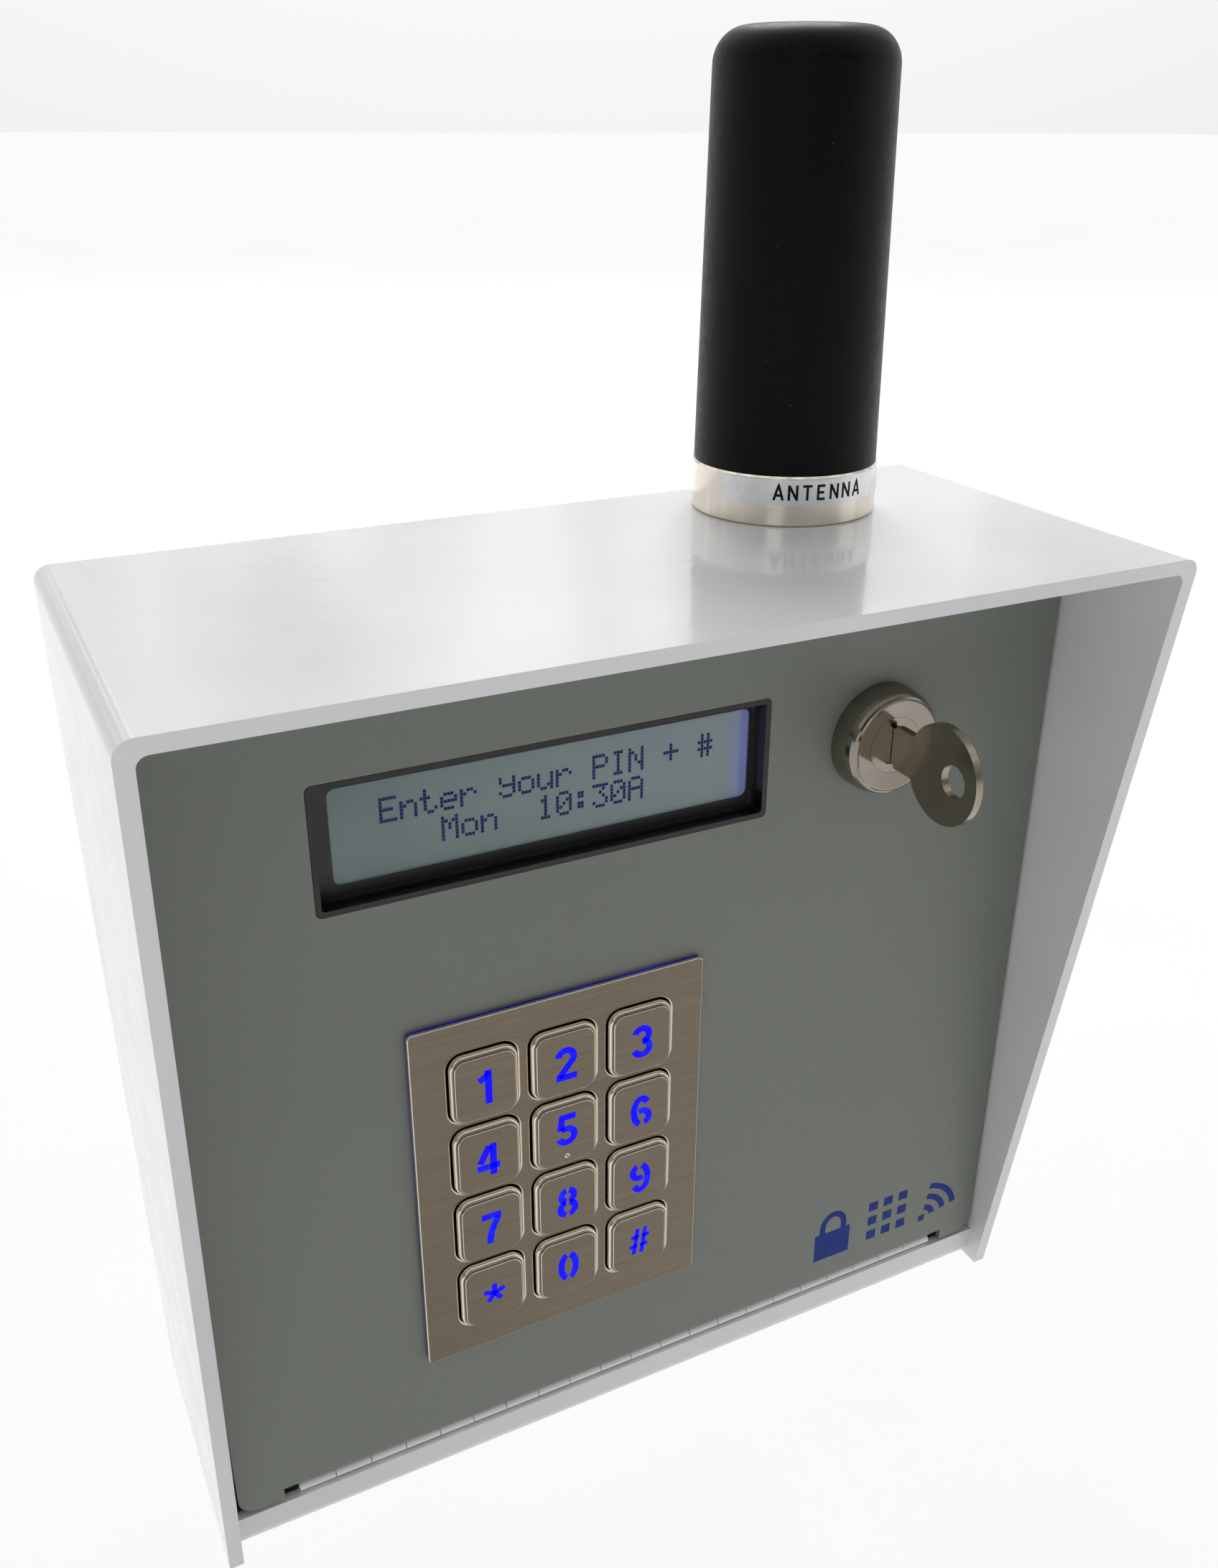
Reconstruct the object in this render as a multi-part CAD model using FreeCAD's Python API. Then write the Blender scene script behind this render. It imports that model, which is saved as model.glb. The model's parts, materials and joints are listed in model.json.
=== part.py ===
"""Hooded gate-entry keypad reader: steel housing, hinged door, display, keypad, cam lock and antenna.

Frame: X to the right, Y from front to back, +Z up, millimetres. The origin is the centre of the
wall-bolt pattern on the outer back face, so the object lies at Y <= 0 and its door faces -Y.
"""
import FreeCAD, Part
import math
import os

V = FreeCAD.Vector

# ---------------------------------------------------------------- driving dimensions
# Housing
HOUSING_WIDTH = 193.7
HOUSING_HEIGHT = 193.4
BOX_DEPTH = 57.2                # outer back face to the door's front face
HOOD_REACH_TOP = 29.8           # how far the hood stands in front of the door at the top
HOOD_REACH_BOTTOM = 3.1         # and at the bottom of the side walls
HOOD_SHEET = 2.9
HOOD_BEND_RADIUS = 3.2
HOOD_INNER_RADIUS = 2.0
PAN_SHEET = 2.0
LIP_BEND_RADIUS = 4.0

# Wall fixing and cable entry
WALL_BOLT_SPACING = 101.6
WALL_BOLT_HOLE_RADIUS = 3.5
CABLE_HOLE_RADIUS = 11.0
CABLE_HOLE_Z = -68.0
GROMMET_BORE_RADIUS = 6.0
GROMMET_LIP = 2.5
GROMMET_LIP_THICKNESS = 2.0

# Door
DOOR_SHEET = 1.2
DOOR_SIDE_GAP = 1.0
DOOR_TOP_GAP = 1.0
DOOR_BOTTOM_HEIGHT = 11.8       # fold of the door's lower edge above the underside of the housing
DOOR_CORNER_RADIUS = 4.0
DOOR_FLANGE_DEPTH = 13.0
EAR_WIDTH = 9.2
EAR_DROP = 2.1                  # how far the corner ears reach below the fold
RELIEF_WIDTH = 3.2
RELIEF_RISE = 0.8
FOLD_RADIUS = 1.0               # outside of the fold along the lower edge

# Piano hinge under the door
KNUCKLE_RADIUS = 1.1
HINGE_PIN_RADIUS = 0.5
HINGE_RUNNING_CLEARANCE = 0.06
HINGE_FIXED_CLEARANCE = 0.02
HINGE_SETBACK = 1.3             # hinge axis behind the door's front face
HINGE_LEAF = 0.4
HINGE_FREE_GAP = 0.3
LIP_SWING_GAP = 0.22            # swinging ears and knuckles to the housing's lip
KNUCKLE_COUNT = 21
KNUCKLE_GAP = 0.2
DOOR_LEAF_DEPTH = 9.0
RIVET_RADIUS = 1.2
RIVET_COUNT = 5
RIVET_HEAD = 0.7

# Door stop and seal
RAIL_SHEET = 1.5
RAIL_WIDTH = 8.0
RAIL_LEG = 5.0
RAIL_BOTTOM_HEIGHT = 17.0
GASKET_THICKNESS = 2.2
GASKET_WIDTH = 6.0
GASKET_GAP = 0.3

# Display window
DISPLAY_X = -20.7
DISPLAY_Z = 58.45
LCD_VIEW_WIDTH = 83.0
LCD_VIEW_HEIGHT = 18.6
WINDOW_MARGINS = (3.4, 3.2)      # opening past the viewing area: at each side, above and below
GLASS_MARGINS = (5.0, 2.7)
BOARD_MARGINS = (16.5, 9.2)
LCD_HOLE_INSET = 4.0             # board's edge to its screw holes
WINDOW_CORNER = 1.2
WINDOW_RIM = 1.0
WINDOW_FLANGE = 2.5
WINDOW_FLANGE_CORNER = 2.0
LENS_CORNER = 0.6
LENS_THICKNESS = 1.2
FIT_GAP = 0.1
LCD_VIEW_CORNER = 1.6
LCD_VIEW_SHIFT = 1.2            # viewing area to the right of the window's middle
LCD_DEPTH = 4.5                 # display face behind the door's front face
LCD_GLASS_THICKNESS = 2.2
LCD_GLASS_CORNER = 0.4
LCD_BACKLIGHT_THICKNESS = 2.4
LCD_BEZEL_SHEET = 0.5
BOARD_THICKNESS = 1.6
BOARD_CORNER = 1.0
POST_RADIUS = 2.9               # hexagonal posts, across the corners
DRIVER_CHIP = (12.0, 9.0, 1.6)  # width, height, thickness
DRIVER_CHIP_PITCH = 30.0

# Keypad
KEYPAD_X = -20.7
KEYPAD_Z = -22.5
KEY_PITCH_X = 16.7
KEY_PITCH_Z = 17.3
KEY_WIDTH = 13.9
KEY_HEIGHT = 15.5
FACEPLATE_MARGINS = (7.45, 7.05)  # past the outer keys: at each side, above and below
CUTOUT_MARGINS = (1.85, 1.3)
STUD_INSETS = (2.9, 3.35)        # faceplate's edge to its studs
FACEPLATE_THICKNESS = 0.8
FACEPLATE_CORNER = 1.0
KEY_HOLE_ROLL = 0.5             # rounding of the key holes' front edges
FACEPLATE_EDGE = 0.35
SEAL_THICKNESS = 0.7
SEAL_INSET = 0.15
KEYPAD_CUTOUT_CORNER = 2.0
KEYPAD_STUD_RADIUS = 1.5
KEYPAD_STUD_CLEARANCE = 0.2
KEYPAD_STUD_END = 1.0           # stud past its nut
KEY_CORNER = 3.0
KEY_PROUD = 3.0                 # key face in front of the door's front face
KEY_SHOULDER_WIDTH = 0.75
KEY_SHOULDER_DROP = 0.45
KEY_GAP = 0.3
KEY_TRAVEL = 0.6
KEY_DOME_GAP = 0.25             # left between key and dome when the key is fully pressed
KEY_TAB = 0.7
KEY_TAB_THICKNESS = 0.8
KEY_DOT_RADIUS = 0.65
GUIDE_BACK_DEPTH = 4.2          # back of the key guide behind the door's front face
DOME_HEIGHT = 0.25
DOME_RADIUS = 4.0
MAT_THICKNESS = 0.8
NUT_THICKNESS = 2.4
NUT_RADIUS = 3.2
SOCKET_SIZE = (22.0, 8.0, 5.0)  # width, height, depth
SOCKET_WALL = 1.0

# Cam lock and key
LOCK_X = 49.9
LOCK_Z = 58.4
COLLAR_PROUD = 6.1
COLLAR_DISH = 0.6
COLLAR_RIM_EDGE = 0.3
BARREL_RADIUS = 9.4
COLLAR_WIDTH = 1.9              # collar past the barrel
COLLAR_SLOPE = 1.6              # collar's rim in from its edge
LOCK_NUT_WIDTH = 4.1            # nut's corners past the barrel
BARREL_LENGTH = 14.5            # behind the door sheet
THREAD_CLEARANCE = 0.05
PLUG_RADIUS = 5.8
PLUG_CLEARANCE = 0.05
CAM_THICKNESS = 2.0
CAM_WIDTH = 14.0
CAM_LENGTH = 29.0
CAM_GAP = 0.2
CAM_SCREW_HEAD_RADIUS = 5.2
CAM_SCREW_HEAD_HEIGHT = 2.2
CAM_SCREW_LENGTH = 4.7
TAIL_SIDE = 7.0
LOCK_NUT_THICKNESS = 4.0
DOOR_KEY_THICKNESS = 1.6
DOOR_KEY_BLADE = 7.6
DOOR_KEY_NECK = 8.8
KEY_NECK_GAP = 1.0              # neck stops this far in front of the plug
DOOR_KEY_REACH = 17.5           # blade inside the plug
DOOR_KEY_CLEARANCE = 0.12
KEYWAY_END_GAP = 0.5
BOW_RADIUS = 9.9
BOW_CENTRE_PROUD = 20.8         # bow centre in front of the door's front face
BOW_HOLE_RADIUS = 3.3
BOW_HOLE_OFFSET = 3.4
KEY_CUT_DEPTHS = (1.2, 2.0, 0.9, 1.6)
KEY_CUT_PITCH = 3.2
KEY_CUT_START = 3.0
KEY_CUT_MOUTH = 2.8
KEY_CUT_ROOT = 0.8
KEY_TIP_BEVEL = 2.5
STRIKE_SHEET = 1.5
STRIKE_WIDTH = 20.0
STRIKE_OVERLAP = 7.0
STRIKE_GAP = 0.6
STRIKE_NUT_GAP = 1.5            # strike's foot to the antenna's washer

# Antenna
ANTENNA_X = 48.6
ANTENNA_FORWARD = 19.8          # antenna axis in front of the outer back face
RING_RADIUS = 18.9
RING_HEIGHT = 10.0
RING_RECESS = 1.2
RING_CHAMFER = 0.4
RING_FOOT_WIDTH = 3.0            # rim outside the gasket's recess
RADOME_BASE_RADIUS = 18.6
RADOME_TOP_RADIUS = 17.2
RADOME_HEIGHT = 78.2
RADOME_SHOULDER = 6.5
RADOME_WALL = 1.6
ELEMENT_FOOT_RADIUS = 7.0
ELEMENT_FOOT_HEIGHT = 3.0
ELEMENT_SIDE_GAP = 3.5
ANTENNA_STUD_RADIUS = 6.0
ANTENNA_STUD_WALL = 3.0
ANTENNA_STUD_CLEARANCE = 0.2
ANTENNA_STUD_LENGTH = 13.0
ANTENNA_NUT_RADIUS = 12.0
ANTENNA_NUT_THICKNESS = 5.0
ANTENNA_WASHER_THICKNESS = 1.2
LABEL_HEIGHT = 5.0
LABEL_THICKNESS = 0.12
LABEL_DROP = 0.6                # below the ring's top
LABEL_START = -162.0            # degrees about +Z from +X
LABEL_SWEEP = 150.0

# Electronics behind the door
MAIN_BOARD_WIDTH = 84.0
MAIN_BOARD_HEIGHT = 115.0
MAIN_BOARD_Z = 22.5
STANDOFF_HEIGHT = 8.0
STANDOFF_RADIUS = 3.0
STANDOFF_INSET = 5.0
SCREW_RADIUS = 1.5
SCREW_HEAD_RADIUS = 2.8
SCREW_HEAD_HEIGHT = 1.8
SCREW_SLOT_WIDTH = 0.7
SCREW_SLOT_DEPTH = 0.9
SCREW_LENGTH = 5.0
MODEM_SIZE = (40.0, 32.0, 3.2)  # component sizes: width, height, depth
MODEM_X = 18.0
MODEM_SOCKET_RADIUS = 2.2
MODEM_SOCKET_HEIGHT = 2.4
MODEM_SOCKET_INSET = 7.0
PROCESSOR_SIZE = (16.0, 16.0, 1.6)
PROCESSOR_PLACE = (-20.0, 28.0)  # from the board's centre
RELAY_SIZE = (19.0, 15.5, 15.3)
RELAY_PITCH = 24.0
RELAY_DROP = 20.0
TERMINAL_SIZE = (30.0, 9.0, 10.0)
TERMINAL_PITCH = 40.0
TERMINAL_EDGE = 12.0
TERMINAL_WAYS = 6
TERMINAL_SCREW_RADIUS = 1.7
TERMINAL_SCREW_DEPTH = 2.0
CAPACITOR_RADIUS = 4.0
CAPACITOR_HEIGHT = 12.0
CAPACITOR_PLACES = ((-34.0, 4.0), (-24.0, 4.0))
COMPONENT_CORNER = 0.6

# ---------------------------------------------------------------- places worked out from them
THROUGH = 1.0                   # cutting tools run this far past the faces they open
WINDOW_WIDTH = LCD_VIEW_WIDTH + 2 * WINDOW_MARGINS[0]
WINDOW_HEIGHT = LCD_VIEW_HEIGHT + 2 * WINDOW_MARGINS[1]
LCD_GLASS_WIDTH = LCD_VIEW_WIDTH + 2 * GLASS_MARGINS[0]
LCD_GLASS_HEIGHT = LCD_VIEW_HEIGHT + 2 * GLASS_MARGINS[1]
LCD_BOARD_WIDTH = LCD_VIEW_WIDTH + 2 * BOARD_MARGINS[0]
LCD_BOARD_HEIGHT = LCD_VIEW_HEIGHT + 2 * BOARD_MARGINS[1]
LCD_HOLE_SPACING_X = LCD_BOARD_WIDTH - 2 * LCD_HOLE_INSET
LCD_HOLE_SPACING_Z = LCD_BOARD_HEIGHT - 2 * LCD_HOLE_INSET
KEY_GRID_WIDTH = 2 * KEY_PITCH_X + KEY_WIDTH
KEY_GRID_HEIGHT = 3 * KEY_PITCH_Z + KEY_HEIGHT
FACEPLATE_WIDTH = KEY_GRID_WIDTH + 2 * FACEPLATE_MARGINS[0]
FACEPLATE_HEIGHT = KEY_GRID_HEIGHT + 2 * FACEPLATE_MARGINS[1]
KEYPAD_CUTOUT_WIDTH = KEY_GRID_WIDTH + 2 * CUTOUT_MARGINS[0]
KEYPAD_CUTOUT_HEIGHT = KEY_GRID_HEIGHT + 2 * CUTOUT_MARGINS[1]
KEYPAD_STUD_X = FACEPLATE_WIDTH / 2 - STUD_INSETS[0]
KEYPAD_STUD_Z = FACEPLATE_HEIGHT / 2 - STUD_INSETS[1]
COLLAR_RADIUS = BARREL_RADIUS + COLLAR_WIDTH
COLLAR_RIM_RADIUS = COLLAR_RADIUS - COLLAR_SLOPE
LOCK_NUT_RADIUS = BARREL_RADIUS + LOCK_NUT_WIDTH
HALF_W = HOUSING_WIDTH / 2
TOP_Z = HOUSING_HEIGHT / 2
BOTTOM_Z = -HOUSING_HEIGHT / 2
INNER_HALF_W = HALF_W - HOOD_SHEET
INNER_TOP_Z = TOP_Z - HOOD_SHEET
FACE_Y = -BOX_DEPTH
DOOR_BACK_Y = FACE_Y + DOOR_SHEET
DOOR_HALF_W = INNER_HALF_W - DOOR_SIDE_GAP
DOOR_TOP_Z = INNER_TOP_Z - DOOR_TOP_GAP
FOLD_Z = BOTTOM_Z + DOOR_BOTTOM_HEIGHT
EAR_Z = FOLD_Z - EAR_DROP
FLANGE_HALF = DOOR_HALF_W - EAR_WIDTH - RELIEF_WIDTH
HINGE_Y = FACE_Y + HINGE_SETBACK
HINGE_Z = FOLD_Z - HINGE_FREE_GAP - KNUCKLE_RADIUS
EAR_SWING = math.hypot(HINGE_SETBACK, HINGE_Z - EAR_Z)
LIP_TOP_Z = HINGE_Z - max(EAR_SWING, KNUCKLE_RADIUS) - LIP_SWING_GAP
LIP_BACK_Y = FACE_Y + PAN_SHEET
GASKET_FRONT_Y = DOOR_BACK_Y + GASKET_GAP
RAIL_FRONT_Y = GASKET_FRONT_Y + GASKET_THICKNESS
RAIL_BACK_Y = RAIL_FRONT_Y + RAIL_SHEET
LCD_FACE_Y = FACE_Y + LCD_DEPTH
LCD_BEZEL_FRONT_Y = LCD_FACE_Y - LCD_BEZEL_SHEET
LCD_BOARD_Y = LCD_FACE_Y + LCD_GLASS_THICKNESS + LCD_BACKLIGHT_THICKNESS
PLATE_BACK_Y = FACE_Y - SEAL_THICKNESS
PLATE_FRONT_Y = PLATE_BACK_Y - FACEPLATE_THICKNESS
KEY_FACE_Y = FACE_Y - KEY_PROUD
GUIDE_BACK_Y = FACE_Y + GUIDE_BACK_DEPTH
KEY_BACK_Y = GUIDE_BACK_Y - DOME_HEIGHT - KEY_TRAVEL - KEY_DOME_GAP
MAT_BACK_Y = GUIDE_BACK_Y + MAT_THICKNESS
KEYPAD_BOARD_BACK_Y = MAT_BACK_Y + BOARD_THICKNESS
COLLAR_FRONT_Y = FACE_Y - COLLAR_PROUD
PLUG_FRONT_Y = COLLAR_FRONT_Y + COLLAR_DISH
BARREL_BACK_Y = DOOR_BACK_Y + BARREL_LENGTH
CAM_FRONT_Y = BARREL_BACK_Y + CAM_GAP
CAM_BACK_Y = CAM_FRONT_Y + CAM_THICKNESS
ANTENNA_Y = -ANTENNA_FORWARD
RING_TOP_Z = TOP_Z + RING_HEIGHT
RADOME_TOP_Z = RING_TOP_Z + RADOME_HEIGHT
BACK_INNER_Y = -PAN_SHEET
MAIN_BOARD_BACK_Y = BACK_INNER_Y - STANDOFF_HEIGHT
MAIN_BOARD_FRONT_Y = MAIN_BOARD_BACK_Y - BOARD_THICKNESS


# ---------------------------------------------------------------- building blocks
def block(x0, x1, y0, y1, z0, z1):
    """Box between two corners."""
    return Part.makeBox(x1 - x0, y1 - y0, z1 - z0, V(x0, y0, z0))


def rod(radius, start, end):
    """Solid cylinder from one point to another."""
    direction = V(*end) - V(*start)
    return Part.makeCylinder(radius, direction.Length, V(*start), direction)


def rod_y(radius, x, z, y0, y1):
    """Solid cylinder along Y."""
    return rod(radius, (x, y0, z), (x, y1, z))


def bore_y(radius, x, z, y0, y1):
    """Cutting tool for a round through hole along Y."""
    return rod_y(radius, x, z, y0 - THROUGH, y1 + THROUGH)


def on_antenna_axis(z):
    """Point on the antenna's axis."""
    return (ANTENNA_X, ANTENNA_Y, z)


def tube(outer, inner, start, end):
    """Cylinder with a through bore."""
    return rod(outer, start, end).cut(rod(inner, start, end))


def slab(cx, cz, width, height, corner, y0, y1):
    """Rounded rectangle in XZ, extruded from y0 back to y1."""
    x0, x1 = cx - width / 2, cx + width / 2
    z0, z1 = cz - height / 2, cz + height / 2
    bend = corner * (1 - math.sqrt(0.5))
    edges = [
        Part.LineSegment(V(x0 + corner, y0, z0), V(x1 - corner, y0, z0)).toShape(),
        Part.Arc(V(x1 - corner, y0, z0), V(x1 - bend, y0, z0 + bend), V(x1, y0, z0 + corner)).toShape(),
        Part.LineSegment(V(x1, y0, z0 + corner), V(x1, y0, z1 - corner)).toShape(),
        Part.Arc(V(x1, y0, z1 - corner), V(x1 - bend, y0, z1 - bend), V(x1 - corner, y0, z1)).toShape(),
        Part.LineSegment(V(x1 - corner, y0, z1), V(x0 + corner, y0, z1)).toShape(),
        Part.Arc(V(x0 + corner, y0, z1), V(x0 + bend, y0, z1 - bend), V(x0, y0, z1 - corner)).toShape(),
        Part.LineSegment(V(x0, y0, z1 - corner), V(x0, y0, z0 + corner)).toShape(),
        Part.Arc(V(x0, y0, z0 + corner), V(x0 + bend, y0, z0 + bend), V(x0 + corner, y0, z0)).toShape(),
    ]
    return Part.Face(Part.Wire(edges)).extrude(V(0, y1 - y0, 0))


def polygon_prism(points, direction):
    """Closed outline of straight edges, extruded along a vector."""
    corners = [V(*point) for point in points]
    return Part.Face(Part.makePolygon(corners + corners[:1])).extrude(V(*direction))


def hex_prism(radius, centre, direction):
    """Hexagonal prism about an axis along Y or Z; radius is to the corners."""
    cx, cy, cz = centre
    points = []
    for step in range(6):
        angle = math.radians(60 * step)
        a, b = radius * math.cos(angle), radius * math.sin(angle)
        points.append((cx + a, cy, cz + b) if direction[1] else (cx + a, cy + b, cz))
    return polygon_prism(points, direction)


def front_edges(shape, y):
    """Edges that lie wholly in the plane at y."""
    found = []
    for edge in shape.Edges:
        bounds = edge.BoundBox
        if abs(bounds.YMin - y) < 1e-4 and abs(bounds.YMax - y) < 1e-4:
            found.append(edge)
    return found


def corners_of(cx, cz, spacing_x, spacing_z):
    """The four corners of a rectangle in XZ."""
    return [(cx + sx * spacing_x / 2, cz + sz * spacing_z / 2) for sx in (-1, 1) for sz in (-1, 1)]


def group(shapes):
    """Separate solids that share one node."""
    return Part.makeCompound(shapes)


# ---------------------------------------------------------------- housing
def hood_front_y(z):
    """Front edge of the side walls at a height: straight from the top corner to the bottom tip."""
    share = (z - BOTTOM_Z) / HOUSING_HEIGHT
    return FACE_Y - HOOD_REACH_BOTTOM - share * (HOOD_REACH_TOP - HOOD_REACH_BOTTOM)


def hood_shell():
    """Top and both side walls in one folded sheet, with the sloping front edge."""
    front = hood_front_y(TOP_Z)
    bend, inner = HOOD_BEND_RADIUS, HOOD_INNER_RADIUS
    shell = slab(0, 0, HOUSING_WIDTH, HOUSING_HEIGHT, bend, front, 0)
    lower_corners = block(-HALF_W, HALF_W, front, 0, BOTTOM_Z, BOTTOM_Z + bend)
    shell = shell.fuse(lower_corners)
    hollow_height = INNER_TOP_Z - BOTTOM_Z + 2 * inner
    hollow = slab(0, INNER_TOP_Z - hollow_height / 2, 2 * INNER_HALF_W, hollow_height, inner,
                  front - THROUGH, THROUGH)
    shell = shell.cut(hollow)
    side, low = -HALF_W - THROUGH, BOTTOM_Z - THROUGH
    slope = polygon_prism([(side, front - THROUGH, TOP_Z), (side, front, TOP_Z),
                           (side, hood_front_y(low), low), (side, front - THROUGH, low)],
                          (HOUSING_WIDTH + 2 * THROUGH, 0, 0))
    shell = shell.cut(slope)
    stud_hole = rod(ANTENNA_STUD_RADIUS + ANTENNA_STUD_CLEARANCE,
                    on_antenna_axis(INNER_TOP_Z - THROUGH), on_antenna_axis(TOP_Z + THROUGH))
    return shell.cut(stud_hole).removeSplitter()


def pan_profile_wire():
    """Section of the rear pan: back, bottom and upturned front lip with round bends."""
    bend, sheet = LIP_BEND_RADIUS, PAN_SHEET
    inner = bend - sheet
    diag = math.sqrt(0.5)
    front_c, back_c = FACE_Y + bend, -bend
    bend_z, low_z, inner_z = BOTTOM_Z + bend, BOTTOM_Z, BOTTOM_Z + sheet

    def line(y0, z0, y1, z1):
        return Part.LineSegment(V(-INNER_HALF_W, y0, z0), V(-INNER_HALF_W, y1, z1)).toShape()

    def arc(y0, z0, mid_y, mid_z, y1, z1):
        points = [V(-INNER_HALF_W, y, z) for y, z in ((y0, z0), (mid_y, mid_z), (y1, z1))]
        return Part.Arc(*points).toShape()

    return Part.Wire([
        line(0, INNER_TOP_Z, 0, bend_z),
        arc(0, bend_z, back_c + bend * diag, bend_z - bend * diag, back_c, low_z),
        line(back_c, low_z, front_c, low_z),
        arc(front_c, low_z, front_c - bend * diag, bend_z - bend * diag, FACE_Y, bend_z),
        line(FACE_Y, bend_z, FACE_Y, LIP_TOP_Z),
        line(FACE_Y, LIP_TOP_Z, LIP_BACK_Y, LIP_TOP_Z),
        line(LIP_BACK_Y, LIP_TOP_Z, LIP_BACK_Y, bend_z),
        arc(LIP_BACK_Y, bend_z, front_c - inner * diag, bend_z - inner * diag, front_c, inner_z),
        line(front_c, inner_z, back_c, inner_z),
        arc(back_c, inner_z, back_c + inner * diag, bend_z - inner * diag, BACK_INNER_Y, bend_z),
        line(BACK_INNER_Y, bend_z, BACK_INNER_Y, INNER_TOP_Z),
        line(BACK_INNER_Y, INNER_TOP_Z, 0, INNER_TOP_Z),
    ])


def rear_pan():
    """Back plate, bottom plate and front lip, with wall-bolt holes and the cable entry."""
    pan = Part.Face(pan_profile_wire()).extrude(V(2 * INNER_HALF_W, 0, 0))
    tall = 4 * HOUSING_HEIGHT
    outline = slab(0, INNER_TOP_Z - tall / 2, 2 * INNER_HALF_W, tall, HOOD_INNER_RADIUS,
                   FACE_Y - THROUGH, THROUGH)
    pan = pan.common(outline)
    for x, z in corners_of(0, 0, WALL_BOLT_SPACING, WALL_BOLT_SPACING):
        pan = pan.cut(bore_y(WALL_BOLT_HOLE_RADIUS, x, z, BACK_INNER_Y, 0))
    return pan.cut(bore_y(CABLE_HOLE_RADIUS, 0, CABLE_HOLE_Z, BACK_INNER_Y, 0))


def door_stop_rails():
    """Angle strips welded round the sides and top, which the door closes against."""
    bottom = BOTTOM_Z + RAIL_BOTTOM_HEIGHT
    tall = INNER_TOP_Z - bottom
    mid_z = bottom + tall / 2
    leg_back = RAIL_BACK_Y + RAIL_LEG
    outer = slab(0, mid_z, 2 * INNER_HALF_W, tall, HOOD_INNER_RADIUS, RAIL_FRONT_Y, leg_back)
    square_foot = block(-INNER_HALF_W, INNER_HALF_W, RAIL_FRONT_Y, leg_back, bottom,
                        bottom + HOOD_INNER_RADIUS)
    frame = outer.fuse(square_foot)
    inside_leg = block(-INNER_HALF_W + RAIL_SHEET, INNER_HALF_W - RAIL_SHEET, RAIL_BACK_Y,
                       leg_back + THROUGH, bottom - THROUGH, INNER_TOP_Z - RAIL_SHEET)
    inside_face = block(-INNER_HALF_W + RAIL_WIDTH, INNER_HALF_W - RAIL_WIDTH, RAIL_FRONT_Y - THROUGH,
                        leg_back, bottom - THROUGH, INNER_TOP_Z - RAIL_WIDTH)
    return frame.cut(inside_leg).cut(inside_face)


def door_gasket():
    """Foam strip on the front of the stop rails."""
    bottom = BOTTOM_Z + RAIL_BOTTOM_HEIGHT
    half = INNER_HALF_W - (RAIL_WIDTH - GASKET_WIDTH)
    top = INNER_TOP_Z - (RAIL_WIDTH - GASKET_WIDTH)
    outer = block(-half, half, GASKET_FRONT_Y, RAIL_FRONT_Y, bottom, top)
    inner = block(-half + GASKET_WIDTH, half - GASKET_WIDTH, GASKET_FRONT_Y - THROUGH,
                  RAIL_FRONT_Y + THROUGH, bottom - THROUGH, top - GASKET_WIDTH)
    return outer.cut(inner)


def strike_bracket():
    """Angle under the hood's top; the lock's cam turns up behind its hanging leg."""
    x0, x1 = LOCK_X - STRIKE_WIDTH / 2, LOCK_X + STRIKE_WIDTH / 2
    plate_back = CAM_FRONT_Y - STRIKE_GAP
    plate_front = plate_back - STRIKE_SHEET
    low = LOCK_Z + CAM_LENGTH - STRIKE_OVERLAP
    plate = block(x0, x1, plate_front, plate_back, low, INNER_TOP_Z)
    foot_back = ANTENNA_Y - ANTENNA_NUT_RADIUS - STRIKE_NUT_GAP
    foot = block(x0, x1, plate_front, foot_back, INNER_TOP_Z - STRIKE_SHEET, INNER_TOP_Z)
    return plate.fuse(foot).removeSplitter()


def cable_grommet():
    """Rubber grommet in the rear cable entry: a neck in the back plate and a rim inside it."""
    rim_front = BACK_INNER_Y - GROMMET_LIP_THICKNESS
    neck = rod_y(CABLE_HOLE_RADIUS, 0, CABLE_HOLE_Z, BACK_INNER_Y, 0)
    rim = rod_y(CABLE_HOLE_RADIUS + GROMMET_LIP, 0, CABLE_HOLE_Z, rim_front, BACK_INNER_Y)
    bore = bore_y(GROMMET_BORE_RADIUS, 0, CABLE_HOLE_Z, rim_front, 0)
    return neck.fuse(rim).cut(bore).removeSplitter()


# ---------------------------------------------------------------- door
def door_fold(strip_top):
    """Lower strip of the door sheet, folded back into the flange that carries the hinge."""
    x, radius = -FLANGE_HALF, FOLD_RADIUS
    bend = radius * (1 - math.sqrt(0.5))
    flange_y = FACE_Y + DOOR_FLANGE_DEPTH
    top = FOLD_Z + DOOR_SHEET
    corners = [V(x, FACE_Y + radius, FOLD_Z), V(x, flange_y, FOLD_Z), V(x, flange_y, top),
               V(x, DOOR_BACK_Y, top), V(x, DOOR_BACK_Y, strip_top), V(x, FACE_Y, strip_top),
               V(x, FACE_Y, FOLD_Z + radius)]
    edges = [Part.LineSegment(a, b).toShape() for a, b in zip(corners, corners[1:])]
    edges.append(Part.Arc(corners[-1], V(x, FACE_Y + bend, FOLD_Z + bend), corners[0]).toShape())
    return Part.Face(Part.Wire(edges)).extrude(V(2 * FLANGE_HALF, 0, 0))


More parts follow.
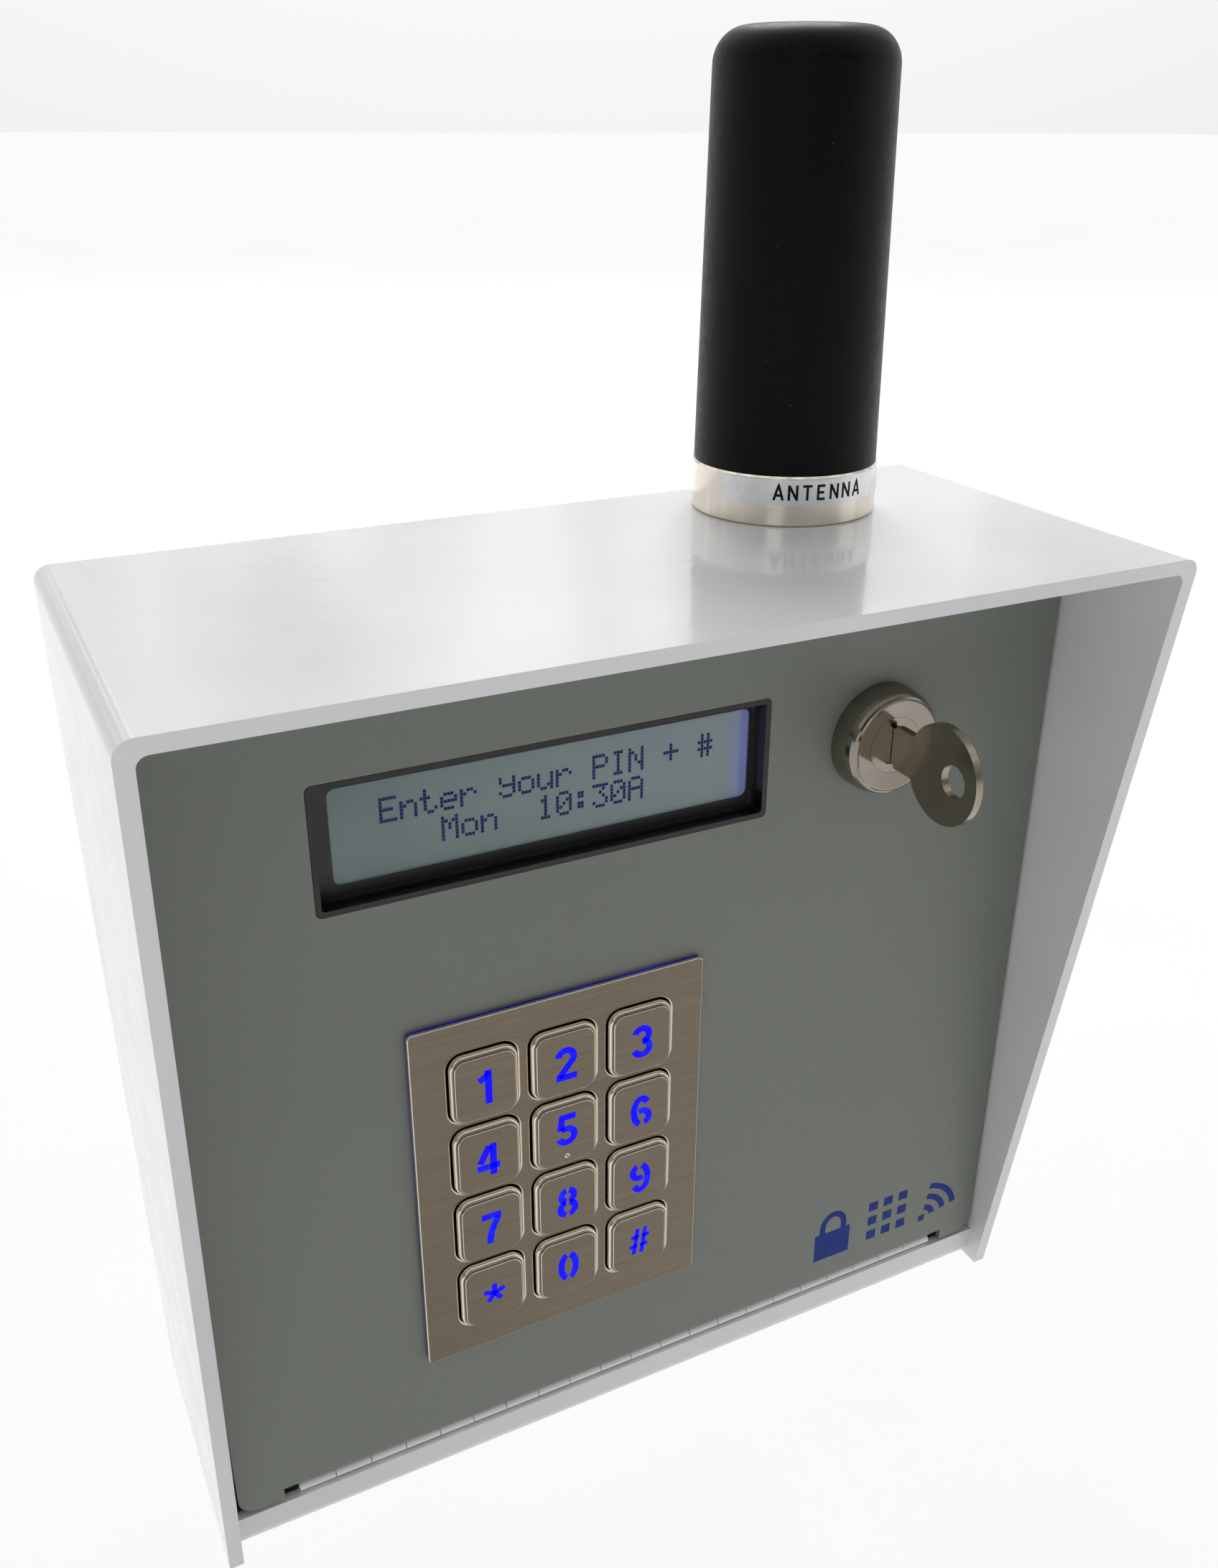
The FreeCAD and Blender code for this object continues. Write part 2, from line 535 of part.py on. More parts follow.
def door_panel():
    """Flat door sheet with a return flange along its lower fold, corner ears and all cut-outs."""
    height = DOOR_TOP_Z - EAR_Z
    panel = slab(0, EAR_Z + height / 2, 2 * DOOR_HALF_W, height, DOOR_CORNER_RADIUS, FACE_Y, DOOR_BACK_Y)
    ear_inner = DOOR_HALF_W - EAR_WIDTH
    strip_top = FOLD_Z + 2 * FOLD_RADIUS
    front, back, low = FACE_Y - THROUGH, DOOR_BACK_Y + THROUGH, EAR_Z - THROUGH
    panel = panel.cut(block(-FLANGE_HALF, FLANGE_HALF, front, back, low, strip_top))
    for side in (-1, 1):
        x0, x1 = sorted((side * FLANGE_HALF, side * ear_inner))
        panel = panel.cut(block(x0, x1, front, back, low, FOLD_Z + RELIEF_RISE))
    panel = panel.fuse(door_fold(strip_top)).removeSplitter()
    panel = panel.cut(slab(DISPLAY_X, DISPLAY_Z, WINDOW_WIDTH, WINDOW_HEIGHT, WINDOW_CORNER, front, back))
    panel = panel.cut(slab(KEYPAD_X, KEYPAD_Z, KEYPAD_CUTOUT_WIDTH, KEYPAD_CUTOUT_HEIGHT,
                           KEYPAD_CUTOUT_CORNER, front, back))
    panel = panel.cut(bore_y(BARREL_RADIUS + FIT_GAP, LOCK_X, LOCK_Z, FACE_Y, DOOR_BACK_Y))
    for x, z in keypad_studs():
        panel = panel.cut(bore_y(KEYPAD_STUD_RADIUS + KEYPAD_STUD_CLEARANCE, x, z, FACE_Y, DOOR_BACK_Y))
    for x in rivet_places():
        panel = panel.cut(rivet_shank(x, FOLD_Z - THROUGH, FOLD_Z + DOOR_SHEET + THROUGH))
    return panel


def rivet_places():
    """Rivet positions along the hinge."""
    step = 2 * FLANGE_HALF / RIVET_COUNT
    return [-FLANGE_HALF + step * (index + 0.5) for index in range(RIVET_COUNT)]


def rivet_shank(x, z0, z1, radius=RIVET_RADIUS):
    """Upright cylinder on the rivet row, in the middle of the free part of the door's leaf."""
    y = HINGE_Y + 0.6 * DOOR_LEAF_DEPTH
    return rod(radius, (x, y, z0), (x, y, z1))


def knuckles(first):
    """Every second knuckle of the piano hinge, starting from the given one: (x0, x1) pairs."""
    pitch = 2 * FLANGE_HALF / KNUCKLE_COUNT
    spans = []
    for index in range(first, KNUCKLE_COUNT, 2):
        x0 = -FLANGE_HALF + pitch * index + KNUCKLE_GAP / 2
        spans.append((x0, x0 + pitch - KNUCKLE_GAP))
    return spans


def hinge_fixed_leaf():
    """Leaf behind the housing's lip, with the odd knuckles of the piano hinge."""
    back = LIP_BACK_Y + HINGE_LEAF
    leaf = block(-FLANGE_HALF, FLANGE_HALF, LIP_BACK_Y, back, BOTTOM_Z + LIP_BEND_RADIUS, LIP_TOP_Z)
    bore = rod(HINGE_PIN_RADIUS + HINGE_FIXED_CLEARANCE,
               (-FLANGE_HALF - THROUGH, HINGE_Y, HINGE_Z), (FLANGE_HALF + THROUGH, HINGE_Y, HINGE_Z))
    for x0, x1 in knuckles(0):
        knuckle = rod(KNUCKLE_RADIUS, (x0, HINGE_Y, HINGE_Z), (x1, HINGE_Y, HINGE_Z))
        tab = block(x0, x1, LIP_BACK_Y, back, LIP_TOP_Z, HINGE_Z)
        web = block(x0, x1, HINGE_Y, back, HINGE_Z - KNUCKLE_RADIUS, HINGE_Z)
        leaf = leaf.fuse([knuckle, tab, web])
    return leaf.cut(bore).removeSplitter()


def hinge_door_leaf():
    """Leaf riveted under the door's return flange, with the even knuckles."""
    front = HINGE_Y + KNUCKLE_RADIUS + HINGE_FREE_GAP
    back = HINGE_Y + DOOR_LEAF_DEPTH
    leaf = block(-FLANGE_HALF, FLANGE_HALF, front, back, FOLD_Z - HINGE_LEAF, FOLD_Z)
    bore = rod(HINGE_PIN_RADIUS + HINGE_RUNNING_CLEARANCE,
               (-FLANGE_HALF - THROUGH, HINGE_Y, HINGE_Z), (FLANGE_HALF + THROUGH, HINGE_Y, HINGE_Z))
    for x0, x1 in knuckles(1):
        knuckle = rod(KNUCKLE_RADIUS, (x0, HINGE_Y, HINGE_Z), (x1, HINGE_Y, HINGE_Z))
        web = block(x0, x1, HINGE_Y, HINGE_Y + KNUCKLE_RADIUS, HINGE_Z, FOLD_Z)
        tab = block(x0, x1, HINGE_Y, front, FOLD_Z - HINGE_LEAF, FOLD_Z)
        leaf = leaf.fuse([knuckle, web, tab])
    leaf = leaf.cut(bore)
    for x in rivet_places():
        leaf = leaf.cut(rivet_shank(x, FOLD_Z - HINGE_LEAF - THROUGH, FOLD_Z + THROUGH))
    return leaf.removeSplitter()


def hinge_pin():
    """Full-length pin of the piano hinge."""
    return rod(HINGE_PIN_RADIUS, (-FLANGE_HALF, HINGE_Y, HINGE_Z), (FLANGE_HALF, HINGE_Y, HINGE_Z))


def hinge_rivets():
    """Flat rivets through the door's flange and the hinge leaf."""
    rivets = []
    for x in rivet_places():
        seat = FOLD_Z + DOOR_SHEET
        shank = rivet_shank(x, FOLD_Z - HINGE_LEAF, seat)
        head = rivet_shank(x, seat, seat + RIVET_HEAD, 2 * RIVET_RADIUS)
        rivets.append(shank.fuse(head).removeSplitter())
    return group(rivets)


# ---------------------------------------------------------------- display
def window_frame():
    """Black moulded insert in the door's window, with a flange behind the sheet."""
    width, height = WINDOW_WIDTH - 2 * FIT_GAP, WINDOW_HEIGHT - 2 * FIT_GAP
    back = LCD_BEZEL_FRONT_Y
    sleeve = slab(DISPLAY_X, DISPLAY_Z, width, height, WINDOW_CORNER, FACE_Y, back)
    flange = slab(DISPLAY_X, DISPLAY_Z, width + 2 * WINDOW_FLANGE, height + 2 * WINDOW_FLANGE,
                  WINDOW_FLANGE_CORNER, DOOR_BACK_Y, back)
    light_way = slab(DISPLAY_X, DISPLAY_Z, width - 2 * WINDOW_RIM, height - 2 * WINDOW_RIM, LENS_CORNER,
                     FACE_Y - THROUGH, back + THROUGH)
    return sleeve.fuse(flange).cut(light_way).removeSplitter()


def window_lens():
    """Clear pane seated in the back of the window insert."""
    width = WINDOW_WIDTH - 2 * (2 * FIT_GAP + WINDOW_RIM)
    height = WINDOW_HEIGHT - 2 * (2 * FIT_GAP + WINDOW_RIM)
    return slab(DISPLAY_X, DISPLAY_Z, width, height, LENS_CORNER, LCD_BEZEL_FRONT_Y - LENS_THICKNESS,
                LCD_BEZEL_FRONT_Y)


def lcd_bezel():
    """Folded black metal frame round the display glass, open at the back."""
    sheet = LCD_BEZEL_SHEET
    width, height = LCD_GLASS_WIDTH + 2 * FIT_GAP, LCD_GLASS_HEIGHT + 2 * FIT_GAP
    shell = slab(DISPLAY_X, DISPLAY_Z, width + 2 * sheet, height + 2 * sheet, LCD_GLASS_CORNER + sheet,
                 LCD_BEZEL_FRONT_Y, LCD_BOARD_Y)
    hollow = slab(DISPLAY_X, DISPLAY_Z, width, height, LCD_GLASS_CORNER, LCD_FACE_Y, LCD_BOARD_Y + THROUGH)
    view = slab(DISPLAY_X + LCD_VIEW_SHIFT, DISPLAY_Z, LCD_VIEW_WIDTH, LCD_VIEW_HEIGHT, LCD_VIEW_CORNER,
                LCD_BEZEL_FRONT_Y - THROUGH, LCD_FACE_Y + THROUGH)
    return shell.cut(hollow).cut(view)


def lcd_glass():
    """Liquid-crystal cell."""
    return slab(DISPLAY_X, DISPLAY_Z, LCD_GLASS_WIDTH, LCD_GLASS_HEIGHT, LCD_GLASS_CORNER, LCD_FACE_Y,
                LCD_FACE_Y + LCD_GLASS_THICKNESS)


def lcd_backlight():
    """Light guide behind the cell."""
    return slab(DISPLAY_X, DISPLAY_Z, LCD_GLASS_WIDTH, LCD_GLASS_HEIGHT, LCD_GLASS_CORNER,
                LCD_FACE_Y + LCD_GLASS_THICKNESS, LCD_BOARD_Y)


def lcd_holes():
    """Fixing places of the display module."""
    return corners_of(DISPLAY_X, DISPLAY_Z, LCD_HOLE_SPACING_X, LCD_HOLE_SPACING_Z)


def lcd_board():
    """Display driver board."""
    back = LCD_BOARD_Y + BOARD_THICKNESS
    board = slab(DISPLAY_X, DISPLAY_Z, LCD_BOARD_WIDTH, LCD_BOARD_HEIGHT, BOARD_CORNER, LCD_BOARD_Y, back)
    for x, z in lcd_holes():
        board = board.cut(bore_y(SCREW_RADIUS, x, z, LCD_BOARD_Y, back))
    return board


def lcd_driver_chips():
    """Moulded driver chips on the back of the display board."""
    back = LCD_BOARD_Y + BOARD_THICKNESS
    width, height, thickness = DRIVER_CHIP
    return group([slab(DISPLAY_X + step * DRIVER_CHIP_PITCH, DISPLAY_Z, width, height, COMPONENT_CORNER,
                       back, back + thickness) for step in (-1, 0, 1)])


def lcd_standoffs():
    """Hexagonal posts welded to the back of the door for the display board."""
    posts = []
    for x, z in lcd_holes():
        post = hex_prism(POST_RADIUS, (x, DOOR_BACK_Y, z), (0, LCD_BOARD_Y - DOOR_BACK_Y, 0))
        hole_front = LCD_BOARD_Y + BOARD_THICKNESS - SCREW_LENGTH
        posts.append(post.cut(rod_y(SCREW_RADIUS, x, z, hole_front, LCD_BOARD_Y + THROUGH)))
    return group(posts)


def screw_y(x, z, seat, side):
    """Slotted screw along Y; its head stands on the given side (+1 or -1) of its seat."""
    top = seat + side * SCREW_HEAD_HEIGHT
    y0, y1 = sorted((top - side * SCREW_SLOT_DEPTH, top + side * THROUGH))
    slot = block(x - SCREW_HEAD_RADIUS, x + SCREW_HEAD_RADIUS, y0, y1,
                 z - SCREW_SLOT_WIDTH / 2, z + SCREW_SLOT_WIDTH / 2)
    head = rod_y(SCREW_HEAD_RADIUS, x, z, seat, top)
    shank = rod_y(SCREW_RADIUS, x, z, seat, seat - side * SCREW_LENGTH)
    return shank.fuse(head).cut(slot).removeSplitter()


def lcd_screws():
    """Screws that hold the display board to its posts."""
    return group([screw_y(x, z, LCD_BOARD_Y + BOARD_THICKNESS, 1) for x, z in lcd_holes()])


# ---------------------------------------------------------------- keypad
def key_places():
    """Key centres in reading order, as (x, z)."""
    places = []
    for row in range(4):
        for column in range(3):
            places.append((KEYPAD_X + (column - 1) * KEY_PITCH_X, KEYPAD_Z + (1.5 - row) * KEY_PITCH_Z))
    return places


def keypad_studs():
    """Fixing places of the keypad."""
    return corners_of(KEYPAD_X, KEYPAD_Z, 2 * KEYPAD_STUD_X, 2 * KEYPAD_STUD_Z)


def key_opening(x, z, y0, y1):
    """Cutting tool for the opening a key travels in."""
    return slab(x, z, KEY_WIDTH + 2 * KEY_GAP, KEY_HEIGHT + 2 * KEY_GAP, KEY_CORNER + KEY_GAP, y0, y1)


def keypad_layer(corner, y0, y1, inset=0.0):
    """Sheet with the faceplate's outline, less an inset, and a clearance hole for every stud."""
    layer = slab(KEYPAD_X, KEYPAD_Z, FACEPLATE_WIDTH - 2 * inset, FACEPLATE_HEIGHT - 2 * inset, corner,
                 y0, y1)
    for x, z in keypad_studs():
        layer = layer.cut(bore_y(KEYPAD_STUD_RADIUS + THREAD_CLEARANCE, x, z, y0, y1))
    return layer


def keypad_faceplate():
    """Stainless plate with twelve round-cornered key holes, rolled hole edges and four rear studs."""
    plate = slab(KEYPAD_X, KEYPAD_Z, FACEPLATE_WIDTH, FACEPLATE_HEIGHT, FACEPLATE_CORNER,
                 PLATE_FRONT_Y, PLATE_BACK_Y)
    for x, z in key_places():
        plate = plate.cut(key_opening(x, z, PLATE_FRONT_Y - THROUGH, PLATE_BACK_Y + THROUGH))
    rims = front_edges(plate, PLATE_FRONT_Y)
    plate = plate.makeFillet(KEY_HOLE_ROLL, [edge for edge in rims if not is_on_outline(edge)])
    rims = front_edges(plate, PLATE_FRONT_Y)
    plate = plate.makeFillet(FACEPLATE_EDGE, [edge for edge in rims if is_on_outline(edge)])
    stud_end = KEYPAD_BOARD_BACK_Y + NUT_THICKNESS + KEYPAD_STUD_END
    for x, z in keypad_studs():
        plate = plate.fuse(rod_y(KEYPAD_STUD_RADIUS, x, z, PLATE_BACK_Y, stud_end))
    return plate.removeSplitter()


def is_on_outline(edge):
    """True for an edge on the faceplate's outer outline."""
    bounds = edge.BoundBox
    reach_x = max(abs(bounds.XMin - KEYPAD_X), abs(bounds.XMax - KEYPAD_X))
    reach_z = max(abs(bounds.ZMin - KEYPAD_Z), abs(bounds.ZMax - KEYPAD_Z))
    return reach_x > FACEPLATE_WIDTH / 2 - 0.01 or reach_z > FACEPLATE_HEIGHT / 2 - 0.01


def keypad_seal():
    """Translucent sheet between the faceplate and the door."""
    seal = keypad_layer(FACEPLATE_CORNER, PLATE_BACK_Y, FACE_Y, SEAL_INSET)
    return seal.cut(slab(KEYPAD_X, KEYPAD_Z, KEYPAD_CUTOUT_WIDTH, KEYPAD_CUTOUT_HEIGHT,
                         KEYPAD_CUTOUT_CORNER, PLATE_BACK_Y - THROUGH, FACE_Y + THROUGH))


def keypad_key_guide():
    """Moulded guide: a sleeve round every key, and a flange behind the door."""
    neck = slab(KEYPAD_X, KEYPAD_Z, KEYPAD_CUTOUT_WIDTH - 2 * FIT_GAP, KEYPAD_CUTOUT_HEIGHT - 2 * FIT_GAP,
                KEYPAD_CUTOUT_CORNER - FIT_GAP, PLATE_BACK_Y, GUIDE_BACK_Y)
    guide = neck.fuse(keypad_layer(KEYPAD_CUTOUT_CORNER, DOOR_BACK_Y, GUIDE_BACK_Y))
    for x, z in key_places():
        tab_half = KEY_WIDTH / 2 + KEY_TAB + KEY_GAP
        tab_room = block(x - tab_half, x + tab_half, key_tab_front() - FIT_GAP, GUIDE_BACK_Y + THROUGH,
                         z - KEY_HEIGHT / 4 - KEY_GAP, z + KEY_HEIGHT / 4 + KEY_GAP)
        guide = guide.cut(key_opening(x, z, PLATE_BACK_Y - THROUGH, GUIDE_BACK_Y + THROUGH)).cut(tab_room)
    return guide.removeSplitter()


def key_tab_front():
    """Front of the tabs that keep a key in its guide."""
    return KEY_BACK_Y - KEY_TAB_THICKNESS


def key_cap(x, z):
    """Cast key: brushed face on a lower round shoulder, straight body, and two retaining tabs."""
    shoulder_y = KEY_FACE_Y + KEY_SHOULDER_DROP
    body = slab(x, z, KEY_WIDTH, KEY_HEIGHT, KEY_CORNER, shoulder_y, KEY_BACK_Y)
    body = body.makeFillet(0.9 * KEY_SHOULDER_WIDTH, front_edges(body, shoulder_y))
    inset = KEY_SHOULDER_WIDTH
    face = slab(x, z, KEY_WIDTH - 2 * inset, KEY_HEIGHT - 2 * inset, KEY_CORNER - inset,
                KEY_FACE_Y, shoulder_y + KEY_SHOULDER_DROP)
    face = face.makeFillet(0.45 * KEY_SHOULDER_DROP, front_edges(face, KEY_FACE_Y))
    tab_half = KEY_WIDTH / 2 + KEY_TAB
    tabs = block(x - tab_half, x + tab_half, key_tab_front(), KEY_BACK_Y,
                 z - KEY_HEIGHT / 4, z + KEY_HEIGHT / 4)
    return body.fuse([face, tabs]).removeSplitter()


def key_five(x, z):
    """The middle key carries a raised locating dot."""
    dot_z = z - 0.34 * KEY_HEIGHT
    dot = Part.makeSphere(KEY_DOT_RADIUS, V(x, KEY_FACE_Y + 0.35 * KEY_DOT_RADIUS, dot_z))
    return key_cap(x, z).fuse(dot).removeSplitter()


def keypad_dome_mat():
    """Silicone mat with a low dome behind every key."""
    mat = keypad_layer(KEYPAD_CUTOUT_CORNER, GUIDE_BACK_Y, MAT_BACK_Y)
    domes = [rod_y(DOME_RADIUS, x, z, GUIDE_BACK_Y - DOME_HEIGHT, MAT_BACK_Y) for x, z in key_places()]
    return mat.fuse(domes).removeSplitter()


def keypad_board():
    """Keypad contact board."""
    return keypad_layer(BOARD_CORNER, MAT_BACK_Y, KEYPAD_BOARD_BACK_Y)


def keypad_nuts():
    """Nuts on the keypad's studs."""
    nuts = []
    for x, z in keypad_studs():
        nut = hex_prism(NUT_RADIUS, (x, KEYPAD_BOARD_BACK_Y, z), (0, NUT_THICKNESS, 0))
        bore = bore_y(KEYPAD_STUD_RADIUS + THREAD_CLEARANCE, x, z, KEYPAD_BOARD_BACK_Y,
                      KEYPAD_BOARD_BACK_Y + NUT_THICKNESS)
        nuts.append(nut.cut(bore))
    return group(nuts)


def keypad_socket():
    """Ribbon socket on the back of the keypad board."""
    seat = KEYPAD_BOARD_BACK_Y
    width, height, depth = SOCKET_SIZE
    body = slab(KEYPAD_X, KEYPAD_Z, width, height, COMPONENT_CORNER, seat, seat + depth)
    well = slab(KEYPAD_X, KEYPAD_Z, width - 2 * SOCKET_WALL, height - 2 * SOCKET_WALL, COMPONENT_CORNER,
                seat + SOCKET_WALL, seat + depth + THROUGH)
    return body.cut(well)


# ---------------------------------------------------------------- cam lock
def revolve_y(points, x, z):
    """Solid of revolution about a Y axis from (radius, y) corners."""
    outline = [V(x + radius, y, z) for radius, y in points]
    face = Part.Face(Part.makePolygon(outline + outline[:1]))
    return face.revolve(V(x, 0, z), V(0, 1, 0), 360)


def lock_body():
    """Collar with a round shoulder and dished front, and the barrel through the door."""
    collar_steps = []
    for step in range(7):
        angle = math.radians(15 * step)
        radius = COLLAR_RIM_RADIUS + (COLLAR_RADIUS - COLLAR_RIM_RADIUS) * math.cos(angle)
        collar_steps.append((radius, FACE_Y - (COLLAR_PROUD - COLLAR_RIM_EDGE) * math.sin(angle)))
    bore = PLUG_RADIUS + PLUG_CLEARANCE
    outline = [(BARREL_RADIUS, BARREL_BACK_Y), (BARREL_RADIUS, FACE_Y)] + collar_steps
    outline += [(COLLAR_RIM_RADIUS - COLLAR_RIM_EDGE, COLLAR_FRONT_Y),
                (COLLAR_RIM_RADIUS - 2 * COLLAR_RIM_EDGE, COLLAR_FRONT_Y),
                (bore, PLUG_FRONT_Y), (bore, BARREL_BACK_Y)]
    return revolve_y(outline, LOCK_X, LOCK_Z)


def lock_nut():
    """Hexagonal nut that clamps the barrel behind the door."""
    nut = hex_prism(LOCK_NUT_RADIUS, (LOCK_X, DOOR_BACK_Y, LOCK_Z), (0, LOCK_NUT_THICKNESS, 0))
    return nut.cut(bore_y(BARREL_RADIUS + THREAD_CLEARANCE, LOCK_X, LOCK_Z, DOOR_BACK_Y,
                          DOOR_BACK_Y + LOCK_NUT_THICKNESS))


def lock_plug():
    """Turning plug with a vertical keyway and a square tail for the cam."""
    plug = rod_y(PLUG_RADIUS, LOCK_X, LOCK_Z, PLUG_FRONT_Y, BARREL_BACK_Y)
    half = TAIL_SIDE / 2
    tail = block(LOCK_X - half, LOCK_X + half, BARREL_BACK_Y, CAM_BACK_Y, LOCK_Z - half, LOCK_Z + half)
    slot_x = DOOR_KEY_THICKNESS / 2 + DOOR_KEY_CLEARANCE
    slot_z = DOOR_KEY_BLADE / 2 + DOOR_KEY_CLEARANCE
    keyway_end = PLUG_FRONT_Y + DOOR_KEY_REACH + KEYWAY_END_GAP
    keyway = block(LOCK_X - slot_x, LOCK_X + slot_x, PLUG_FRONT_Y - THROUGH, keyway_end,
                   LOCK_Z - slot_z, LOCK_Z + slot_z)
    screw_hole = rod_y(SCREW_RADIUS, LOCK_X, LOCK_Z, CAM_BACK_Y - CAM_SCREW_LENGTH, CAM_BACK_Y + THROUGH)
    return plug.fuse(tail).cut(keyway).cut(screw_hole).removeSplitter()


def lock_cam():
    """Flat cam; it points sideways when unlocked and turns up behind the strike."""
    half = CAM_WIDTH / 2
    arm = block(LOCK_X, LOCK_X + CAM_LENGTH - half, CAM_FRONT_Y, CAM_BACK_Y, LOCK_Z - half, LOCK_Z + half)
    hub = rod_y(half, LOCK_X, LOCK_Z, CAM_FRONT_Y, CAM_BACK_Y)
    tip = rod_y(half, LOCK_X + CAM_LENGTH - half, LOCK_Z, CAM_FRONT_Y, CAM_BACK_Y)
    square = TAIL_SIDE / 2
    hole = block(LOCK_X - square, LOCK_X + square, CAM_FRONT_Y - THROUGH, CAM_BACK_Y + THROUGH,
                 LOCK_Z - square, LOCK_Z + square)
    return arm.fuse([hub, tip]).cut(hole).removeSplitter()


def lock_cam_screw():
    """Screw that holds the cam on the plug's tail."""
    head_back = CAM_BACK_Y + CAM_SCREW_HEAD_HEIGHT
    head = rod_y(CAM_SCREW_HEAD_RADIUS, LOCK_X, LOCK_Z, CAM_BACK_Y, head_back)
    shank = rod_y(SCREW_RADIUS, LOCK_X, LOCK_Z, CAM_BACK_Y - CAM_SCREW_LENGTH, CAM_BACK_Y)
    slot = block(LOCK_X - CAM_SCREW_HEAD_RADIUS, LOCK_X + CAM_SCREW_HEAD_RADIUS, head_back - SCREW_SLOT_DEPTH,
                 head_back + THROUGH, LOCK_Z - SCREW_SLOT_WIDTH / 2, LOCK_Z + SCREW_SLOT_WIDTH / 2)
    return head.fuse(shank).cut(slot).removeSplitter()


def door_key():
    """Flat key: round bow with a ring hole, short neck, and a notched blade in the keyway."""
    half = DOOR_KEY_THICKNESS / 2
    x0, x1 = LOCK_X - half, LOCK_X + half
    bow_y = FACE_Y - BOW_CENTRE_PROUD
    bow = rod(BOW_RADIUS, (x0, bow_y, LOCK_Z), (x1, bow_y, LOCK_Z))
    neck_back = PLUG_FRONT_Y - KEY_NECK_GAP
    neck = block(x0, x1, bow_y, neck_back, LOCK_Z - DOOR_KEY_NECK / 2, LOCK_Z + DOOR_KEY_NECK / 2)
    low, top = LOCK_Z - DOOR_KEY_BLADE / 2, LOCK_Z + DOOR_KEY_BLADE / 2
    tip_y = PLUG_FRONT_Y + DOOR_KEY_REACH
    blade = polygon_prism([(x0, neck_back, low), (x0, neck_back, top), (x0, tip_y - KEY_TIP_BEVEL, top),
                           (x0, tip_y, LOCK_Z), (x0, tip_y - KEY_TIP_BEVEL, low)], (DOOR_KEY_THICKNESS, 0, 0))
    key = bow.fuse([neck, blade]).removeSplitter()
    for index, depth in enumerate(KEY_CUT_DEPTHS):
        key = key.cut(key_cut(x0, PLUG_FRONT_Y + KEY_CUT_START + KEY_CUT_PITCH * index, top, depth))
    hole_y = bow_y - BOW_HOLE_OFFSET
    return key.cut(rod(BOW_HOLE_RADIUS, (x0 - THROUGH, hole_y, LOCK_Z), (x1 + THROUGH, hole_y, LOCK_Z)))


def key_cut(x0, centre_y, top, depth):
    """Cutting tool for one notch of the blade, with sloping sides."""
    x, mouth, root = x0 - THROUGH, KEY_CUT_MOUTH / 2, KEY_CUT_ROOT / 2
    return polygon_prism([(x, centre_y - mouth, top + FIT_GAP), (x, centre_y - root, top - depth),
                          (x, centre_y + root, top - depth), (x, centre_y + mouth, top + FIT_GAP)],
                         (DOOR_KEY_THICKNESS + 2 * THROUGH, 0, 0))


# ---------------------------------------------------------------- antenna
def revolve_z(points, axis_x, axis_y):
    """Solid of revolution about a Z axis from (radius, z) corners."""
    outline = [V(axis_x + radius, axis_y, z) for radius, z in points]
    face = Part.Face(Part.makePolygon(outline + outline[:1]))
    return face.revolve(V(axis_x, axis_y, 0), V(0, 0, 1), 360)


def antenna_base():
    """Nickel-plated base ring with a hollow threaded stud through the hood's top."""
    chamfer = RING_CHAMFER
    gasket_radius = RING_RADIUS - RING_FOOT_WIDTH
    low, high = TOP_Z, RING_TOP_Z
    stud_end = INNER_TOP_Z - ANTENNA_STUD_LENGTH
    ring = revolve_z([(0, low + RING_RECESS), (gasket_radius, low + RING_RECESS), (gasket_radius, low),
                      (RING_RADIUS - chamfer, low), (RING_RADIUS, low + chamfer),
                      (RING_RADIUS, high - chamfer), (RING_RADIUS - chamfer, high), (0, high)],
                     ANTENNA_X, ANTENNA_Y)
    stud = rod(ANTENNA_STUD_RADIUS, on_antenna_axis(stud_end), on_antenna_axis(low + RING_RECESS))
    bore = rod(ANTENNA_STUD_RADIUS - ANTENNA_STUD_WALL, on_antenna_axis(stud_end - THROUGH),
               on_antenna_axis(low + 2 * RING_RECESS))
    return ring.fuse(stud).cut(bore).removeSplitter()


def antenna_gasket():
    """Rubber pad in the recess under the base."""
    return tube(RING_RADIUS - RING_FOOT_WIDTH - FIT_GAP, ANTENNA_STUD_RADIUS + ANTENNA_STUD_CLEARANCE,
                on_antenna_axis(TOP_Z), on_antenna_axis(TOP_Z + RING_RECESS))


def radome_solid(shrink, top_drop, shoulder):
    """Tapered round-shouldered body of the radome, or its hollow when shrunk."""
    base, top = RING_TOP_Z, RADOME_TOP_Z - top_drop
    low_r, high_r = RADOME_BASE_RADIUS - shrink, RADOME_TOP_RADIUS - shrink
    cone = Part.makeCone(low_r, high_r, top - base, V(ANTENNA_X, ANTENNA_Y, base))
    rim = [edge for edge in cone.Edges if abs(edge.BoundBox.ZMin - top) < 1e-4 and edge.Length > high_r]
    return cone.makeFillet(shoulder, rim)


def antenna_radome():
    """Hollow moulded cover over the radiating element."""
    outer = radome_solid(0, 0, RADOME_SHOULDER)
    inner = radome_solid(RADOME_WALL, RADOME_WALL, RADOME_SHOULDER - RADOME_WALL)
    return outer.cut(inner)


def antenna_element():
    """Printed radiator board standing on the base inside the radome."""
    half = RADOME_TOP_RADIUS - RADOME_WALL - ELEMENT_SIDE_GAP
    foot_top = RING_TOP_Z + ELEMENT_FOOT_HEIGHT
    top = RADOME_TOP_Z - RADOME_WALL - RADOME_SHOULDER
    board = block(ANTENNA_X - half, ANTENNA_X + half, ANTENNA_Y - BOARD_THICKNESS / 2,
                  ANTENNA_Y + BOARD_THICKNESS / 2, foot_top, top)
    foot = rod(ELEMENT_FOOT_RADIUS, on_antenna_axis(RING_TOP_Z), on_antenna_axis(foot_top))
    return board.fuse(foot).removeSplitter()


